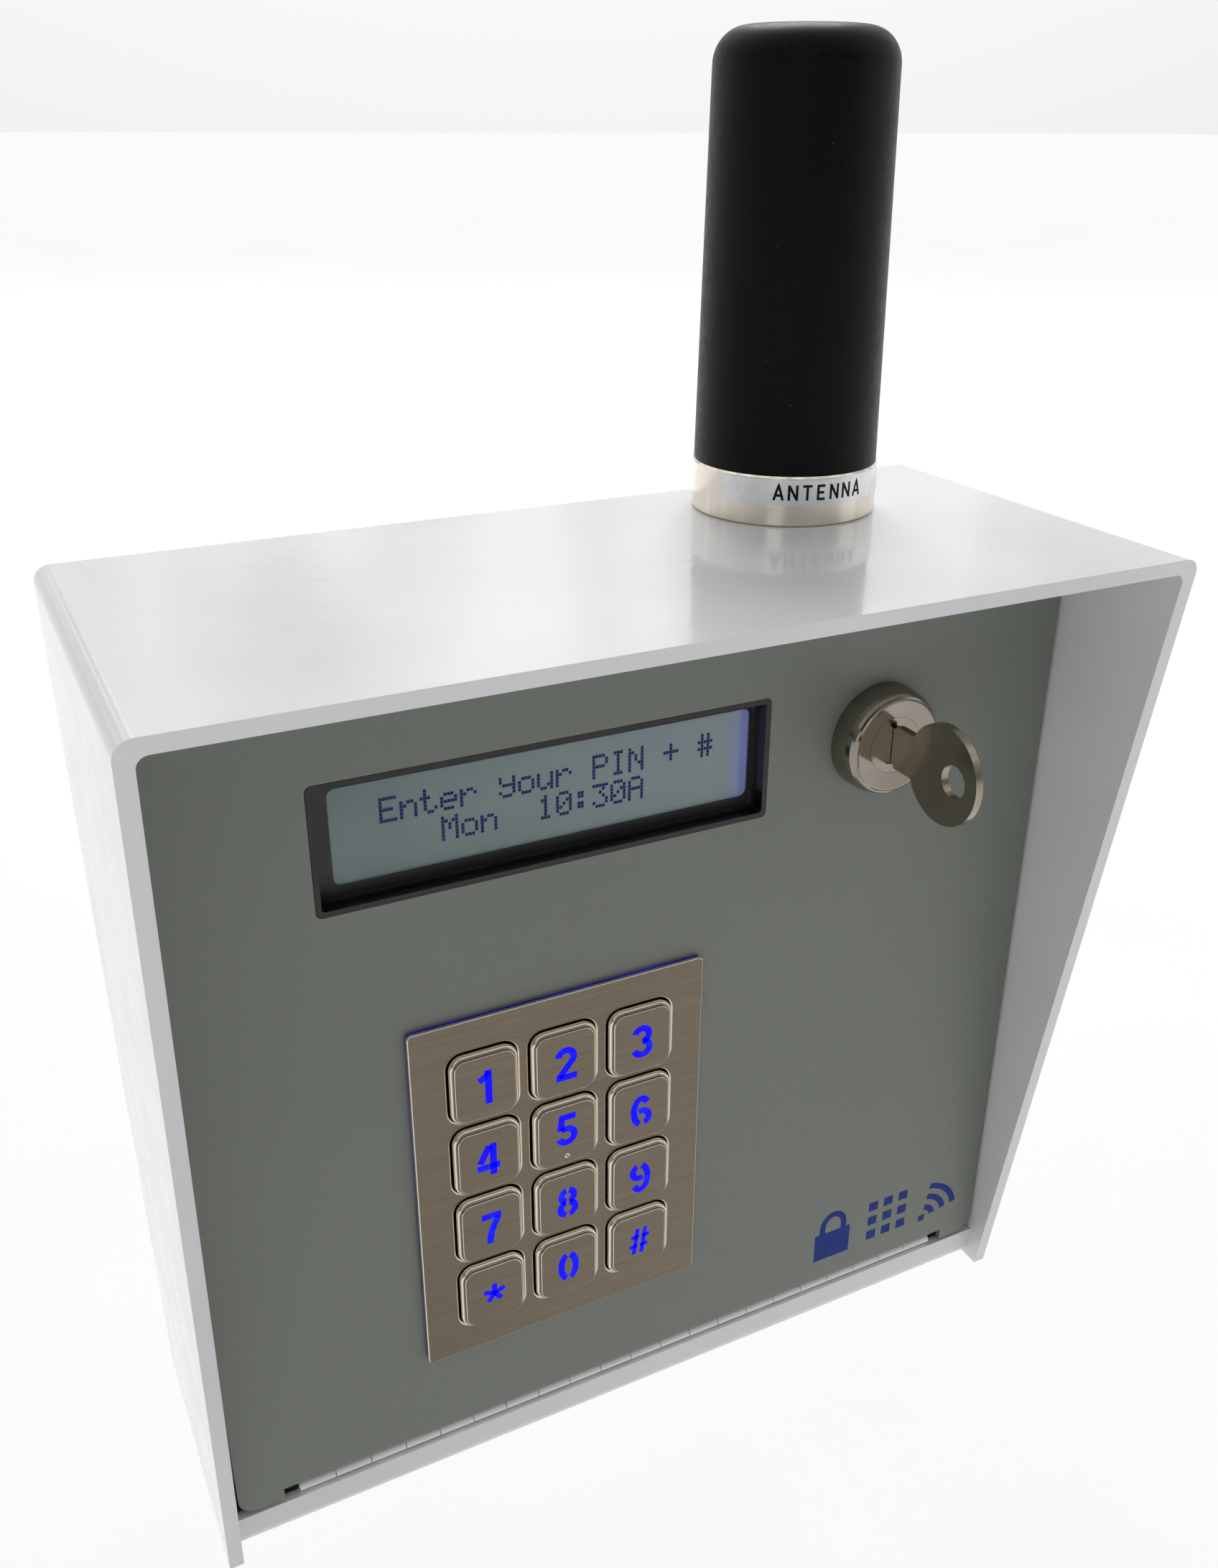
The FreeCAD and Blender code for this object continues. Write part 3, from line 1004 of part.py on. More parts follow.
def antenna_washer():
    """Washer under the hood's top."""
    return tube(ANTENNA_NUT_RADIUS, ANTENNA_STUD_RADIUS + ANTENNA_STUD_CLEARANCE,
                on_antenna_axis(INNER_TOP_Z - ANTENNA_WASHER_THICKNESS), on_antenna_axis(INNER_TOP_Z))


def antenna_nut():
    """Hexagonal nut on the antenna's stud."""
    high = INNER_TOP_Z - ANTENNA_WASHER_THICKNESS
    low = high - ANTENNA_NUT_THICKNESS
    nut = hex_prism(ANTENNA_NUT_RADIUS, on_antenna_axis(low), (0, 0, ANTENNA_NUT_THICKNESS))
    return nut.cut(rod(ANTENNA_STUD_RADIUS + THREAD_CLEARANCE, on_antenna_axis(low - THROUGH),
                       on_antenna_axis(high + THROUGH)))


def antenna_label():
    """Plain sticker wrapped part of the way round the base ring."""
    low = RING_TOP_Z - LABEL_DROP - LABEL_HEIGHT
    outer = Part.makeCylinder(RING_RADIUS + LABEL_THICKNESS, LABEL_HEIGHT, V(0, 0, low), V(0, 0, 1),
                              LABEL_SWEEP)
    label = outer.cut(Part.makeCylinder(RING_RADIUS, LABEL_HEIGHT + 2 * THROUGH, V(0, 0, low - THROUGH)))
    label.rotate(V(0, 0, 0), V(0, 0, 1), LABEL_START)
    label.translate(V(ANTENNA_X, ANTENNA_Y, 0))
    return label


# ---------------------------------------------------------------- electronics in the housing
def board_holes():
    """Fixing places of the main board."""
    return corners_of(0, MAIN_BOARD_Z, MAIN_BOARD_WIDTH - 2 * STANDOFF_INSET,
                      MAIN_BOARD_HEIGHT - 2 * STANDOFF_INSET)


def main_board():
    """Controller board."""
    board = slab(0, MAIN_BOARD_Z, MAIN_BOARD_WIDTH, MAIN_BOARD_HEIGHT, BOARD_CORNER,
                 MAIN_BOARD_FRONT_Y, MAIN_BOARD_BACK_Y)
    for x, z in board_holes():
        board = board.cut(bore_y(SCREW_RADIUS, x, z, MAIN_BOARD_FRONT_Y, MAIN_BOARD_BACK_Y))
    return board


def board_standoffs():
    """Posts between the back plate and the main board."""
    posts = []
    for x, z in board_holes():
        posts.append(tube(STANDOFF_RADIUS, SCREW_RADIUS, (x, MAIN_BOARD_BACK_Y, z), (x, BACK_INNER_Y, z)))
    return group(posts)


def board_screws():
    """Screws that hold the main board, driven from the front."""
    return group([screw_y(x, z, MAIN_BOARD_FRONT_Y, -1) for x, z in board_holes()])


def on_board(cx, cz, size):
    """Component body of a (width, height, depth) standing on the front of the main board."""
    width, height, depth = size
    front = MAIN_BOARD_FRONT_Y - depth
    return slab(cx, cz, width, height, COMPONENT_CORNER, front, MAIN_BOARD_FRONT_Y)


def modem_module():
    """Shielded cellular module near the antenna, with its aerial socket."""
    width, height, depth = MODEM_SIZE
    centre_z = MAIN_BOARD_Z + MAIN_BOARD_HEIGHT / 2 - 2 * STANDOFF_INSET - height / 2
    socket_x = MODEM_X + width / 2 - MODEM_SOCKET_INSET
    socket_z = centre_z + height / 2 - MODEM_SOCKET_INSET
    seat = MAIN_BOARD_FRONT_Y - depth
    socket = rod_y(MODEM_SOCKET_RADIUS, socket_x, socket_z, seat - MODEM_SOCKET_HEIGHT, seat)
    return on_board(MODEM_X, centre_z, MODEM_SIZE).fuse(socket).removeSplitter()


def processor_chip():
    """Main processor."""
    x, rise = PROCESSOR_PLACE
    return on_board(x, MAIN_BOARD_Z + rise, PROCESSOR_SIZE)


def gate_relays():
    """Relays that switch the gate and the door strike."""
    return group([on_board(step * RELAY_PITCH, MAIN_BOARD_Z - RELAY_DROP, RELAY_SIZE) for step in (-1, 0, 1)])


def terminal_blocks():
    """Screw terminals along the lower edge of the board."""
    strips = []
    width, _, depth = TERMINAL_SIZE
    centre_z = MAIN_BOARD_Z - MAIN_BOARD_HEIGHT / 2 + TERMINAL_EDGE
    front = MAIN_BOARD_FRONT_Y - depth
    for side in (-1, 1):
        centre_x = side * TERMINAL_PITCH / 2
        strip = on_board(centre_x, centre_z, TERMINAL_SIZE)
        for index in range(TERMINAL_WAYS):
            screw_x = centre_x + width / TERMINAL_WAYS * (index - (TERMINAL_WAYS - 1) / 2)
            strip = strip.cut(rod_y(TERMINAL_SCREW_RADIUS, screw_x, centre_z, front - THROUGH,
                                    front + TERMINAL_SCREW_DEPTH))
        strips.append(strip)
    return group(strips)


def supply_capacitors():
    """Supply capacitors."""
    front = MAIN_BOARD_FRONT_Y - CAPACITOR_HEIGHT
    return group([rod_y(CAPACITOR_RADIUS, x, MAIN_BOARD_Z + rise, front, MAIN_BOARD_FRONT_Y)
                  for x, rise in CAPACITOR_PLACES])


# ---------------------------------------------------------------- output
KEY_NAMES = ("key_1", "key_2", "key_3", "key_4", "key_5", "key_6", "key_7", "key_8", "key_9",
             "key_star", "key_0", "key_hash")

PARTS = (hood_shell, rear_pan, door_stop_rails, door_gasket, strike_bracket, cable_grommet,
         door_panel, hinge_fixed_leaf, hinge_door_leaf, hinge_pin, hinge_rivets,
         window_frame, window_lens, lcd_bezel, lcd_glass, lcd_backlight, lcd_board, lcd_driver_chips,
         lcd_standoffs, lcd_screws,
         keypad_faceplate, keypad_seal, keypad_key_guide, keypad_dome_mat, keypad_board, keypad_nuts,
         keypad_socket,
         lock_body, lock_nut, lock_plug, lock_cam, lock_cam_screw, door_key,
         antenna_base, antenna_gasket, antenna_radome, antenna_element, antenna_washer, antenna_nut,
         antenna_label,
         main_board, board_standoffs, board_screws, modem_module, processor_chip, gate_relays,
         terminal_blocks, supply_capacitors)


def main():
    """Write one STEP file per sub-part."""
    os.makedirs("parts", exist_ok=True)
    for build in PARTS:
        build().exportStep(os.path.join("parts", build.__name__ + ".step"))
    for name, (x, z) in zip(KEY_NAMES, key_places()):
        key = key_five(x, z) if name == "key_5" else key_cap(x, z)
        key.exportStep(os.path.join("parts", name + ".step"))


main()
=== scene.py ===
"""Looks of the hooded keypad reader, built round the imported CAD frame. Metres, +Z up, door facing -Y."""
import json
import math
import random

import bmesh
import bpy
from mathutils import Matrix, Vector


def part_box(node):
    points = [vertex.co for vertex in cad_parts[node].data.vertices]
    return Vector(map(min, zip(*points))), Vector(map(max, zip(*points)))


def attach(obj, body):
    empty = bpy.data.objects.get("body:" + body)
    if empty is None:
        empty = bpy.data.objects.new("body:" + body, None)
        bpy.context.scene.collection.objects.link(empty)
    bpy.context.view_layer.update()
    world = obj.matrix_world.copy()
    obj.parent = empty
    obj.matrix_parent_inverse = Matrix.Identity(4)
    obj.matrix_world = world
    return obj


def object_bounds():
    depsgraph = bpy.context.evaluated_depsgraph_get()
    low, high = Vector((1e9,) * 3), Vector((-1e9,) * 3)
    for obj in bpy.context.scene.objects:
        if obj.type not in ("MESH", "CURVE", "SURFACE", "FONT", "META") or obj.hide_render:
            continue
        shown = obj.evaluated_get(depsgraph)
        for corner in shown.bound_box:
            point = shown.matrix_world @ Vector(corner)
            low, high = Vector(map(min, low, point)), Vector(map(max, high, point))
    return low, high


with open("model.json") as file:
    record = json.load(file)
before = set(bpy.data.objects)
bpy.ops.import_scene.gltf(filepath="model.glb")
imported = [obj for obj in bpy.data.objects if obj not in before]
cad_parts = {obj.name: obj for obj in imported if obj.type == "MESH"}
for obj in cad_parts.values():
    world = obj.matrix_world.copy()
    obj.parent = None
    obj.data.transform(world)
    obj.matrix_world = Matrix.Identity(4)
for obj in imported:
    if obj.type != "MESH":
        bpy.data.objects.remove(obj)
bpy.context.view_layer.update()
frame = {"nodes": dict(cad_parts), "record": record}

MM = 0.001
NODES = frame["nodes"]
KEY_NAMES = ("key_1", "key_2", "key_3", "key_4", "key_5", "key_6", "key_7", "key_8", "key_9",
             "key_star", "key_0", "key_hash")


# ---------------------------------------------------------------- camera, floor and light
CAMERA_AT = (-113.3 * MM, -264.3 * MM, 169.6 * MM)
CAMERA_YAW = 26.84
CAMERA_PITCH = -25.45
CAMERA_ROLL = 0.34
CAMERA_LENS = 32.34
CAMERA_SHIFT = (-0.0050, 0.0019)
FLOOR_DROP = 0.16                # metres below the object
FLOOR_REACH = 40.0
FLOOR_GLOW = (0.09, 0.38)        # near the object, and far behind it
FLOOR_GLOW_REACH = (0.5, 3.5)    # metres behind the object
FLOOR_GLOW_TOWARDS = (0.45, 0.89, 0.0)
WORLD_BRIGHT_TOWARDS = (0.30, 0.66, 0.68)
WORLD_LEAN = (-0.6, 0.85)        # share of that direction where the surround is dimmest, and brightest
WORLD_STRENGTH = (0.03, 1.0)
STREAK_STRETCH = (9.0, 9.0, 0.9)
STREAK_NOISE = (0.42, 0.62)
STREAK_STRENGTH = (0.5, 1.35)
STREAK_HEIGHTS = (0.14, 0.32)    # heights between which the streaks come in
LIGHT_TARGET = (0, -0.04, 0.0)
LIGHTS = (("key", (0.9, 1.6, 2.2), (1.3, 1.3), 36.0),  # name, place, size, watts
          ("front_left", (-0.8, -1.0, 0.7), (0.5, 0.9), 0.8),
          ("right_fill", (1.1, -0.7, 0.5), (0.5, 0.8), 0.5))


def make_camera():
    """Camera at the photograph's angle, distance and focal length."""
    yaw, pitch, roll = (math.radians(angle) for angle in (CAMERA_YAW, CAMERA_PITCH, CAMERA_ROLL))
    forward = Vector((math.sin(yaw) * math.cos(pitch), math.cos(yaw) * math.cos(pitch), math.sin(pitch)))
    level = Vector((math.cos(yaw), -math.sin(yaw), 0))
    up = level.cross(forward)
    right = level * math.cos(roll) + up * math.sin(roll)
    up = right.cross(forward)
    data = bpy.data.cameras.new("camera")
    data.lens = CAMERA_LENS
    data.shift_x, data.shift_y = CAMERA_SHIFT
    data.clip_start = 0.01
    camera = bpy.data.objects.new("camera", data)
    axes = Matrix((right, up, -forward)).transposed().to_4x4()
    camera.matrix_world = Matrix.Translation(CAMERA_AT) @ axes
    bpy.context.scene.collection.objects.link(camera)
    bpy.context.scene.camera = camera


def area_light(name, place, size, power):
    """Rectangular soft white light aimed at the object."""
    data = bpy.data.lights.new(name, "AREA")
    data.shape = "RECTANGLE"
    data.size, data.size_y = size
    data.energy = power
    lamp = bpy.data.objects.new(name, data)
    lamp.location = place
    lamp.rotation_euler = (Vector(LIGHT_TARGET) - Vector(place)).to_track_quat("-Z", "Y").to_euler()
    bpy.context.scene.collection.objects.link(lamp)


def make_stage():
    """Plain pale floor, pale world and soft studio lights."""
    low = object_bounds()[0]
    mesh = bpy.data.meshes.new("floor")
    shape = bmesh.new()
    bmesh.ops.create_grid(shape, x_segments=1, y_segments=1, size=FLOOR_REACH)
    shape.to_mesh(mesh)
    shape.free()
    floor = bpy.data.objects.new("floor", mesh)
    floor.location = (0, 0, low[2] - FLOOR_DROP)
    floor.data.materials.append(floor_material())
    bpy.context.scene.collection.objects.link(floor)
    make_world()
    bpy.context.scene.view_settings.view_transform = "Standard"
    for light in LIGHTS:
        area_light(*light)


def make_world():
    """Studio surround: bright above and behind, dim in front, with soft window streaks overhead."""
    world = bpy.data.worlds.new("studio")
    world.use_nodes = True
    tree = world.node_tree
    place = tree.nodes.new("ShaderNodeTexCoord").outputs["Generated"]

    def node(kind, links, values=(), **settings):
        made = tree.nodes.new(kind)
        for key, value in settings.items():
            setattr(made, key, value)
        for socket, value in values:
            made.inputs[socket].default_value = value
        for socket, source in links:
            tree.links.new(source, made.inputs[socket])
        return made

    def span(limits, name):
        """Socket values for one end of a change of range."""
        return [(name + " Min", limits[0]), (name + " Max", limits[1])]

    lean = node("ShaderNodeVectorMath", [(0, place)], [(1, WORLD_BRIGHT_TOWARDS)], operation="DOT_PRODUCT")
    base = node("ShaderNodeMapRange", [("Value", lean.outputs["Value"])],
                span(WORLD_LEAN, "From") + span(WORLD_STRENGTH, "To"))
    stretched = node("ShaderNodeMapping", [("Vector", place)], [("Scale", STREAK_STRETCH)])
    streak = node("ShaderNodeTexNoise", [("Vector", stretched.outputs["Vector"])],
                  [("Scale", 1.0), ("Detail", 1.5)])
    window = node("ShaderNodeMapRange", [("Value", streak.outputs["Fac"])],
                  span(STREAK_NOISE, "From") + span(STREAK_STRENGTH, "To"))
    height = node("ShaderNodeSeparateXYZ", [(0, place)])
    share = node("ShaderNodeMapRange", [("Value", height.outputs["Z"])], span(STREAK_HEIGHTS, "From"))
    streaks = node("ShaderNodeMix", [(0, share.outputs["Result"]), (3, window.outputs["Result"])],
                   [(2, 1.0)])
    strength = node("ShaderNodeMath", [(0, base.outputs["Result"]), (1, streaks.outputs[0])],
                    operation="MULTIPLY")
    background = tree.nodes["Background"]
    background.inputs["Color"].default_value = (1.0, 1.0, 1.0, 1)
    tree.links.new(strength.outputs[0], background.inputs["Strength"])
    bpy.context.scene.world = world


# ---------------------------------------------------------------- material helpers
def srgb(red, green, blue):
    """Opaque linear colour from 0-255 display values."""
    linear = []
    for value in (red, green, blue):
        share = value / 255
        linear.append(share / 12.92 if share <= 0.04045 else ((share + 0.055) / 1.055) ** 2.4)
    return (*linear, 1.0)


class Shader:
    """A principled material and short ways to add nodes to it."""

    def __init__(self, name, **constants):
        self.material = bpy.data.materials.new(name)
        self.material.use_nodes = True
        self.tree = self.material.node_tree
        self.bsdf = self.tree.nodes["Principled BSDF"]
        for socket, value in constants.items():
            self.bsdf.inputs[socket.replace("_", " ")].default_value = value
        self.place = self.add("ShaderNodeTexCoord").outputs["Object"]

    def add(self, kind, **settings):
        """New node with plain settings."""
        node = self.tree.nodes.new(kind)
        for key, value in settings.items():
            setattr(node, key, value)
        return node

    def link(self, source, target):
        """Joins two sockets."""
        self.tree.links.new(source, target)

    def scaled(self, scale, turn=(0, 0, 0)):
        """Object coordinates times a scale, after a turn in degrees."""
        mapping = self.add("ShaderNodeMapping")
        mapping.inputs["Scale"].default_value = scale
        mapping.inputs["Rotation"].default_value = [math.radians(angle) for angle in turn]
        self.link(self.place, mapping.inputs["Vector"])
        return mapping.outputs["Vector"]

    def noise(self, scale, detail=2.0, rough=0.5, vector=None):
        """Noise value from 0 to 1; scale is features per metre."""
        node = self.add("ShaderNodeTexNoise")
        node.inputs["Scale"].default_value = scale
        node.inputs["Detail"].default_value = detail
        node.inputs["Roughness"].default_value = rough
        self.link(vector or self.place, node.inputs["Vector"])
        return node.outputs["Fac"]

    def ramp(self, value, stops):
        """Colour ramp; stops are (position, colour)."""
        node = self.add("ShaderNodeValToRGB")
        ramp = node.color_ramp
        while len(ramp.elements) < len(stops):
            ramp.elements.new(0.5)
        for element, (position, colour) in zip(ramp.elements, stops):
            element.position = position
            element.color = colour if len(colour) == 4 else (*colour, 1)
        self.link(value, node.inputs["Fac"])
        return node.outputs["Color"]

    def remap(self, value, low, high, from_low=0.0, from_high=1.0):
        """Linear change of range, clamped."""
        node = self.add("ShaderNodeMapRange")
        for socket, number in (("From Min", from_low), ("From Max", from_high),
                               ("To Min", low), ("To Max", high)):
            node.inputs[socket].default_value = number
        self.link(value, node.inputs["Value"])
        return node.outputs["Result"]

    def mix(self, share, first, second):
        """Mix of two colours by a value."""
        node = self.add("ShaderNodeMix", data_type="RGBA")
        self.link(share, node.inputs[0])
        for socket, colour in ((node.inputs[6], first), (node.inputs[7], second)):
            if isinstance(colour, tuple):
                socket.default_value = colour
            else:
                self.link(colour, socket)
        return node.outputs[2]

    def axis(self, name):
        """One object coordinate in metres."""
        node = self.add("ShaderNodeSeparateXYZ")
        self.link(self.place, node.inputs[0])
        return node.outputs[name]

    def turned_away(self):
        """0 on faces square to the front, 1 on edges and sides; from the object's own normals."""
        split = self.add("ShaderNodeSeparateXYZ")
        self.link(self.tree.nodes["Texture Coordinate"].outputs["Normal"], split.inputs[0])
        facing = self.add("ShaderNodeMath", operation="ABSOLUTE")
        self.link(split.outputs["Y"], facing.inputs[0])
        return self.remap(facing.outputs[0], 1.0, 0.0, 0.86, 0.985)

    def bump(self, height, strength, distance, under=None):
        """Bump from a height value; returns the normal."""
        node = self.add("ShaderNodeBump")
        node.inputs["Strength"].default_value = strength
        node.inputs["Distance"].default_value = distance
        self.link(height, node.inputs["Height"])
        if under is not None:
            self.link(under, node.inputs["Normal"])
        self.link(node.outputs["Normal"], self.bsdf.inputs["Normal"])
        return node.outputs["Normal"]

    def colour(self, source):
        """Drives the base colour."""
        self.link(source, self.bsdf.inputs["Base Color"])

    def roughness(self, source):
        """Drives the roughness."""
        self.link(source, self.bsdf.inputs["Roughness"])


# ---------------------------------------------------------------- materials
def floor_material():
    """Pale matte floor with a faint mottle, glowing more far away, where the key light fades."""
    shader = Shader("floor", Roughness=0.9)
    tone = shader.ramp(shader.noise(3.0), [(0.3, (0.88, 0.88, 0.88)), (0.7, (0.92, 0.92, 0.92))])
    shader.colour(tone)
    behind = shader.add("ShaderNodeVectorMath", operation="DOT_PRODUCT")
    shader.link(shader.place, behind.inputs[0])
    behind.inputs[1].default_value = FLOOR_GLOW_TOWARDS
    glow = shader.remap(behind.outputs["Value"], *FLOOR_GLOW, *FLOOR_GLOW_REACH)
    shader.link(glow, shader.bsdf.inputs["Emission Color"])
    shader.bsdf.inputs["Emission Strength"].default_value = 1.0
    return shader.material


def white_paint():
    """Gloss white powder coat: orange peel, faint dust and slight unevenness of tone."""
    shader = Shader("white_paint", Coat_Weight=0.3, Coat_Roughness=0.05)
    tone = shader.noise(18.0, 3.0)
    shader.colour(shader.ramp(tone, [(0.3, srgb(226, 227, 229)), (0.7, srgb(234, 235, 236))]))
    shader.roughness(shader.remap(shader.noise(60.0, 4.0), 0.10, 0.19, 0.35, 0.7))
    peel = shader.noise(420.0, 1.5, 0.4)
    fine = shader.noise(2600.0, 2.0)
    shader.bump(fine, 0.05, 0.00002, under=shader.bump(peel, 0.30, 0.00012))
    return shader.material


def door_paint():
    """Satin grey-green powder coat with a very fine texture."""
    shader = Shader("door_paint")
    tone = shader.noise(9.0, 3.0)
    shader.colour(shader.ramp(tone, [(0.3, srgb(118, 123, 114)), (0.7, srgb(123, 128, 119))]))
    shader.roughness(shader.remap(shader.noise(900.0, 3.0), 0.36, 0.50, 0.3, 0.7))
    grain = shader.noise(1500.0, 2.0, 0.6)
    peel = shader.noise(330.0, 1.0)
    shader.bump(grain, 0.10, 0.00004, under=shader.bump(peel, 0.15, 0.00008))
    return shader.material


def brushed_steel(name, colour, painted_highlight):
    """Steel brushed along X on its front faces; edges and shoulders get a painted highlight (a much lighter
    base colour) and a lower roughness for their polish.
    """
    shader = Shader(name, Metallic=1.0)
    streak = shader.noise(1.0, 5.0, 0.7, shader.scaled((40, 900, 3400)))
    coarse = shader.noise(1.0, 2.0, 0.5, shader.scaled((28, 225, 850)))
    dark = tuple(channel * 0.86 for channel in colour[:3])
    light = tuple(min(1.0, channel * 1.15) for channel in colour[:3])
    brushed = shader.ramp(streak, [(0.3, dark), (0.72, light)])
    turned = shader.turned_away()
    # painted highlight: the base colour turns much lighter where the faces turn away from the front, on edges
    # and shoulders
    shader.colour(shader.mix(turned, brushed, painted_highlight))
    rough = shader.remap(coarse, 0.26, 0.38, 0.3, 0.7)
    shader.roughness(shader.mix(turned, rough, (0.17, 0.17, 0.17, 1)))
    shader.bump(streak, 0.12, 0.00002)
    return shader.material


def plated_metal(name, colour, rough, scratches=0.0):
    """Nickel or zinc plate: soft tone changes, fine wear, optional scratches."""
    shader = Shader(name, Metallic=1.0)
    tone = shader.noise(160.0, 4.0)
    dark = tuple(channel * 0.86 for channel in colour[:3])
    shader.colour(shader.ramp(tone, [(0.25, dark), (0.75, colour)]))
    shader.roughness(shader.remap(shader.noise(700.0, 4.0, 0.7), rough * 0.75, rough * 1.35, 0.3, 0.7))
    wear = shader.noise(1.0, 4.0, 0.8, shader.scaled((2500, 260, 900), (0, 35, 20)))
    shader.bump(wear, 0.04 + scratches, 0.00003)
    return shader.material


def moulded_plastic(name, colour, rough, grain=0.1, speckle=0.0, gloss=0.5):
    """Moulded plastic or rubber with a fine grain and optional pale dust."""
    shader = Shader(name, Specular_IOR_Level=gloss)
    tone = shader.noise(45.0, 3.0)
    dark = tuple(channel * 0.88 for channel in colour[:3])
    body = shader.ramp(tone, [(0.3, dark), (0.7, colour)])
    if speckle:
        dust = shader.remap(shader.noise(1900.0, 2.0, 0.6), 0.0, speckle, 0.72, 0.80)
        body = shader.mix(dust, body, srgb(150, 150, 150))
    shader.colour(body)
    shader.roughness(shader.remap(shader.noise(500.0, 3.0), rough * 0.88, rough * 1.12, 0.3, 0.7))
    shader.bump(shader.noise(2300.0, 3.0, 0.6), grain, 0.00004)
    return shader.material


def glowing(name, deep, bright, strength, spot=110.0):
    """Translucent part lit from behind, brighter in spots."""
    shader = Shader(name, Roughness=0.5, Specular_IOR_Level=0.1)
    colour = shader.ramp(shader.noise(spot, 2.0), [(0.52, deep), (0.75, bright)])
    shader.colour(colour)
    shader.link(colour, shader.bsdf.inputs["Emission Color"])
    shader.bsdf.inputs["Emission Strength"].default_value = strength
    shader.bump(shader.noise(1500.0), 0.05, 0.00002)
    return shader.material


def lcd_cell():
    """Grey-blue display background, lighter to the right, with the module's blue edge light."""
    shader = Shader("lcd_cell", Roughness=0.12)
    low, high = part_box("lcd_bezel")
    across = shader.remap(shader.axis("X"), 0.0, 1.0, low[0], high[0])
    base = shader.ramp(across, [(0.06, srgb(86, 100, 99)), (0.5, srgb(100, 114, 115)),
                                (0.9, srgb(110, 123, 127)), (0.958, srgb(112, 122, 190))])
    mottled = shader.mix(shader.remap(shader.noise(70.0), 0.0, 0.18, 0.3, 0.7), base, srgb(124, 136, 140))
    shader.colour(mottled)
    shader.link(mottled, shader.bsdf.inputs["Emission Color"])
    shader.bsdf.inputs["Emission Strength"].default_value = 0.3
    shader.bump(shader.noise(900.0), 0.03, 0.00002)
    return shader.material


def clear_lens():
    """Clear pane: almost invisible, with a faint gloss."""
    shader = Shader("clear_lens", Base_Color=srgb(236, 242, 242), Alpha=0.015)
    shader.roughness(shader.remap(shader.noise(120.0), 0.03, 0.06, 0.3, 0.7))
    return shader.material


def circuit_board():
    """Green solder mask with a raised net of traces and pale pads."""
    shader = Shader("circuit_board", Roughness=0.3)
    cells = shader.add("ShaderNodeTexVoronoi", feature="DISTANCE_TO_EDGE", distance="MANHATTAN")
    cells.inputs["Scale"].default_value = 260.0
    cells.inputs["Randomness"].default_value = 0.25
    shader.link(shader.place, cells.inputs["Vector"])
    trace = shader.remap(cells.outputs["Distance"], 1.0, 0.0, 0.03, 0.07)
    board = shader.mix(trace, srgb(12, 70, 38), srgb(30, 105, 60))
    pads = shader.remap(shader.noise(650.0, 0.0), 0.0, 1.0, 0.74, 0.76)
    shader.colour(shader.mix(pads, board, srgb(190, 185, 160)))
    shader.bump(trace, 0.3, 0.00005)
    return shader.material


MATERIALS = {
    "white_paint": white_paint,
    "door_paint": door_paint,
    "hinge_steel": white_paint,
    "gasket_foam": lambda: moulded_plastic("gasket_foam", srgb(32, 32, 33), 0.9, 0.5),
    "rubber_black": lambda: moulded_plastic("rubber_black", srgb(28, 28, 29), 0.75, 0.25),
    "window_plastic": lambda: moulded_plastic("window_plastic", srgb(10, 10, 11), 0.24, 0.05),
    "lens_clear": clear_lens,
    "lcd_metal": lambda: moulded_plastic("lcd_metal", srgb(9, 9, 11), 0.4, 0.06),
    "lcd_cell": lcd_cell,
    "lcd_light": lambda: moulded_plastic("lcd_light", srgb(225, 230, 235), 0.3, 0.05),
    "circuit_board": circuit_board,
    "chip_plastic": lambda: moulded_plastic("chip_plastic", srgb(30, 30, 31), 0.55, 0.2),
    "zinc_fasteners": lambda: plated_metal("zinc_fasteners", srgb(200, 200, 195), 0.3),
    # the third colour is the painted highlight on the edges and shoulders
    "brushed_stainless": lambda: brushed_steel("brushed_stainless", srgb(120, 110, 96), srgb(240, 232, 218)),
    "keypad_glow": lambda: glowing("keypad_glow", srgb(20, 6, 120), srgb(40, 30, 200), 0.5),
    "keypad_plastic": lambda: moulded_plastic("keypad_plastic", srgb(10, 10, 26), 0.5, 0.1),
    "silicone": lambda: moulded_plastic("silicone", srgb(170, 172, 176), 0.5, 0.1),
    "lock_nickel": lambda: plated_metal("lock_nickel", srgb(160, 152, 142), 0.13),
    "key_nickel": lambda: plated_metal("key_nickel", srgb(165, 156, 140), 0.2, 0.06),
    "antenna_nickel": lambda: plated_metal("antenna_nickel", srgb(250, 241, 228), 0.17),
    "radome_plastic": lambda: moulded_plastic("radome_plastic", srgb(8, 8, 9), 0.40, 0.12, 0.3, 0.14),
    "label_paper": lambda: plated_metal("label_paper", srgb(250, 250, 251), 0.32),
    "module_shield": lambda: plated_metal("module_shield", srgb(205, 205, 205), 0.28),
    "relay_plastic": lambda: moulded_plastic("relay_plastic", srgb(24, 60, 140), 0.3, 0.05),
    "terminal_plastic": lambda: moulded_plastic("terminal_plastic", srgb(30, 140, 70), 0.35, 0.05),
    "capacitor_sleeve": lambda: moulded_plastic("capacitor_sleeve", srgb(22, 24, 48), 0.3, 0.05),
}


def dress_nodes():
    """Gives every CAD node its slot's material."""
    made = {slot: build() for slot, build in MATERIALS.items()}
    for entry in frame["record"]["subparts"]:
        node = NODES[entry["node"]]
        node.data.materials.clear()
        node.data.materials.append(made[entry["material_slot"]])


def soften(node, width):
    """Bevels a CAD node's sharp edges."""
    bevel = NODES[node].modifiers.new("edge", "BEVEL")
    bevel.width = width
    bevel.segments = 2
    bevel.limit_method = "ANGLE"
    bevel.angle_limit = math.radians(40)
    bevel.harden_normals = False


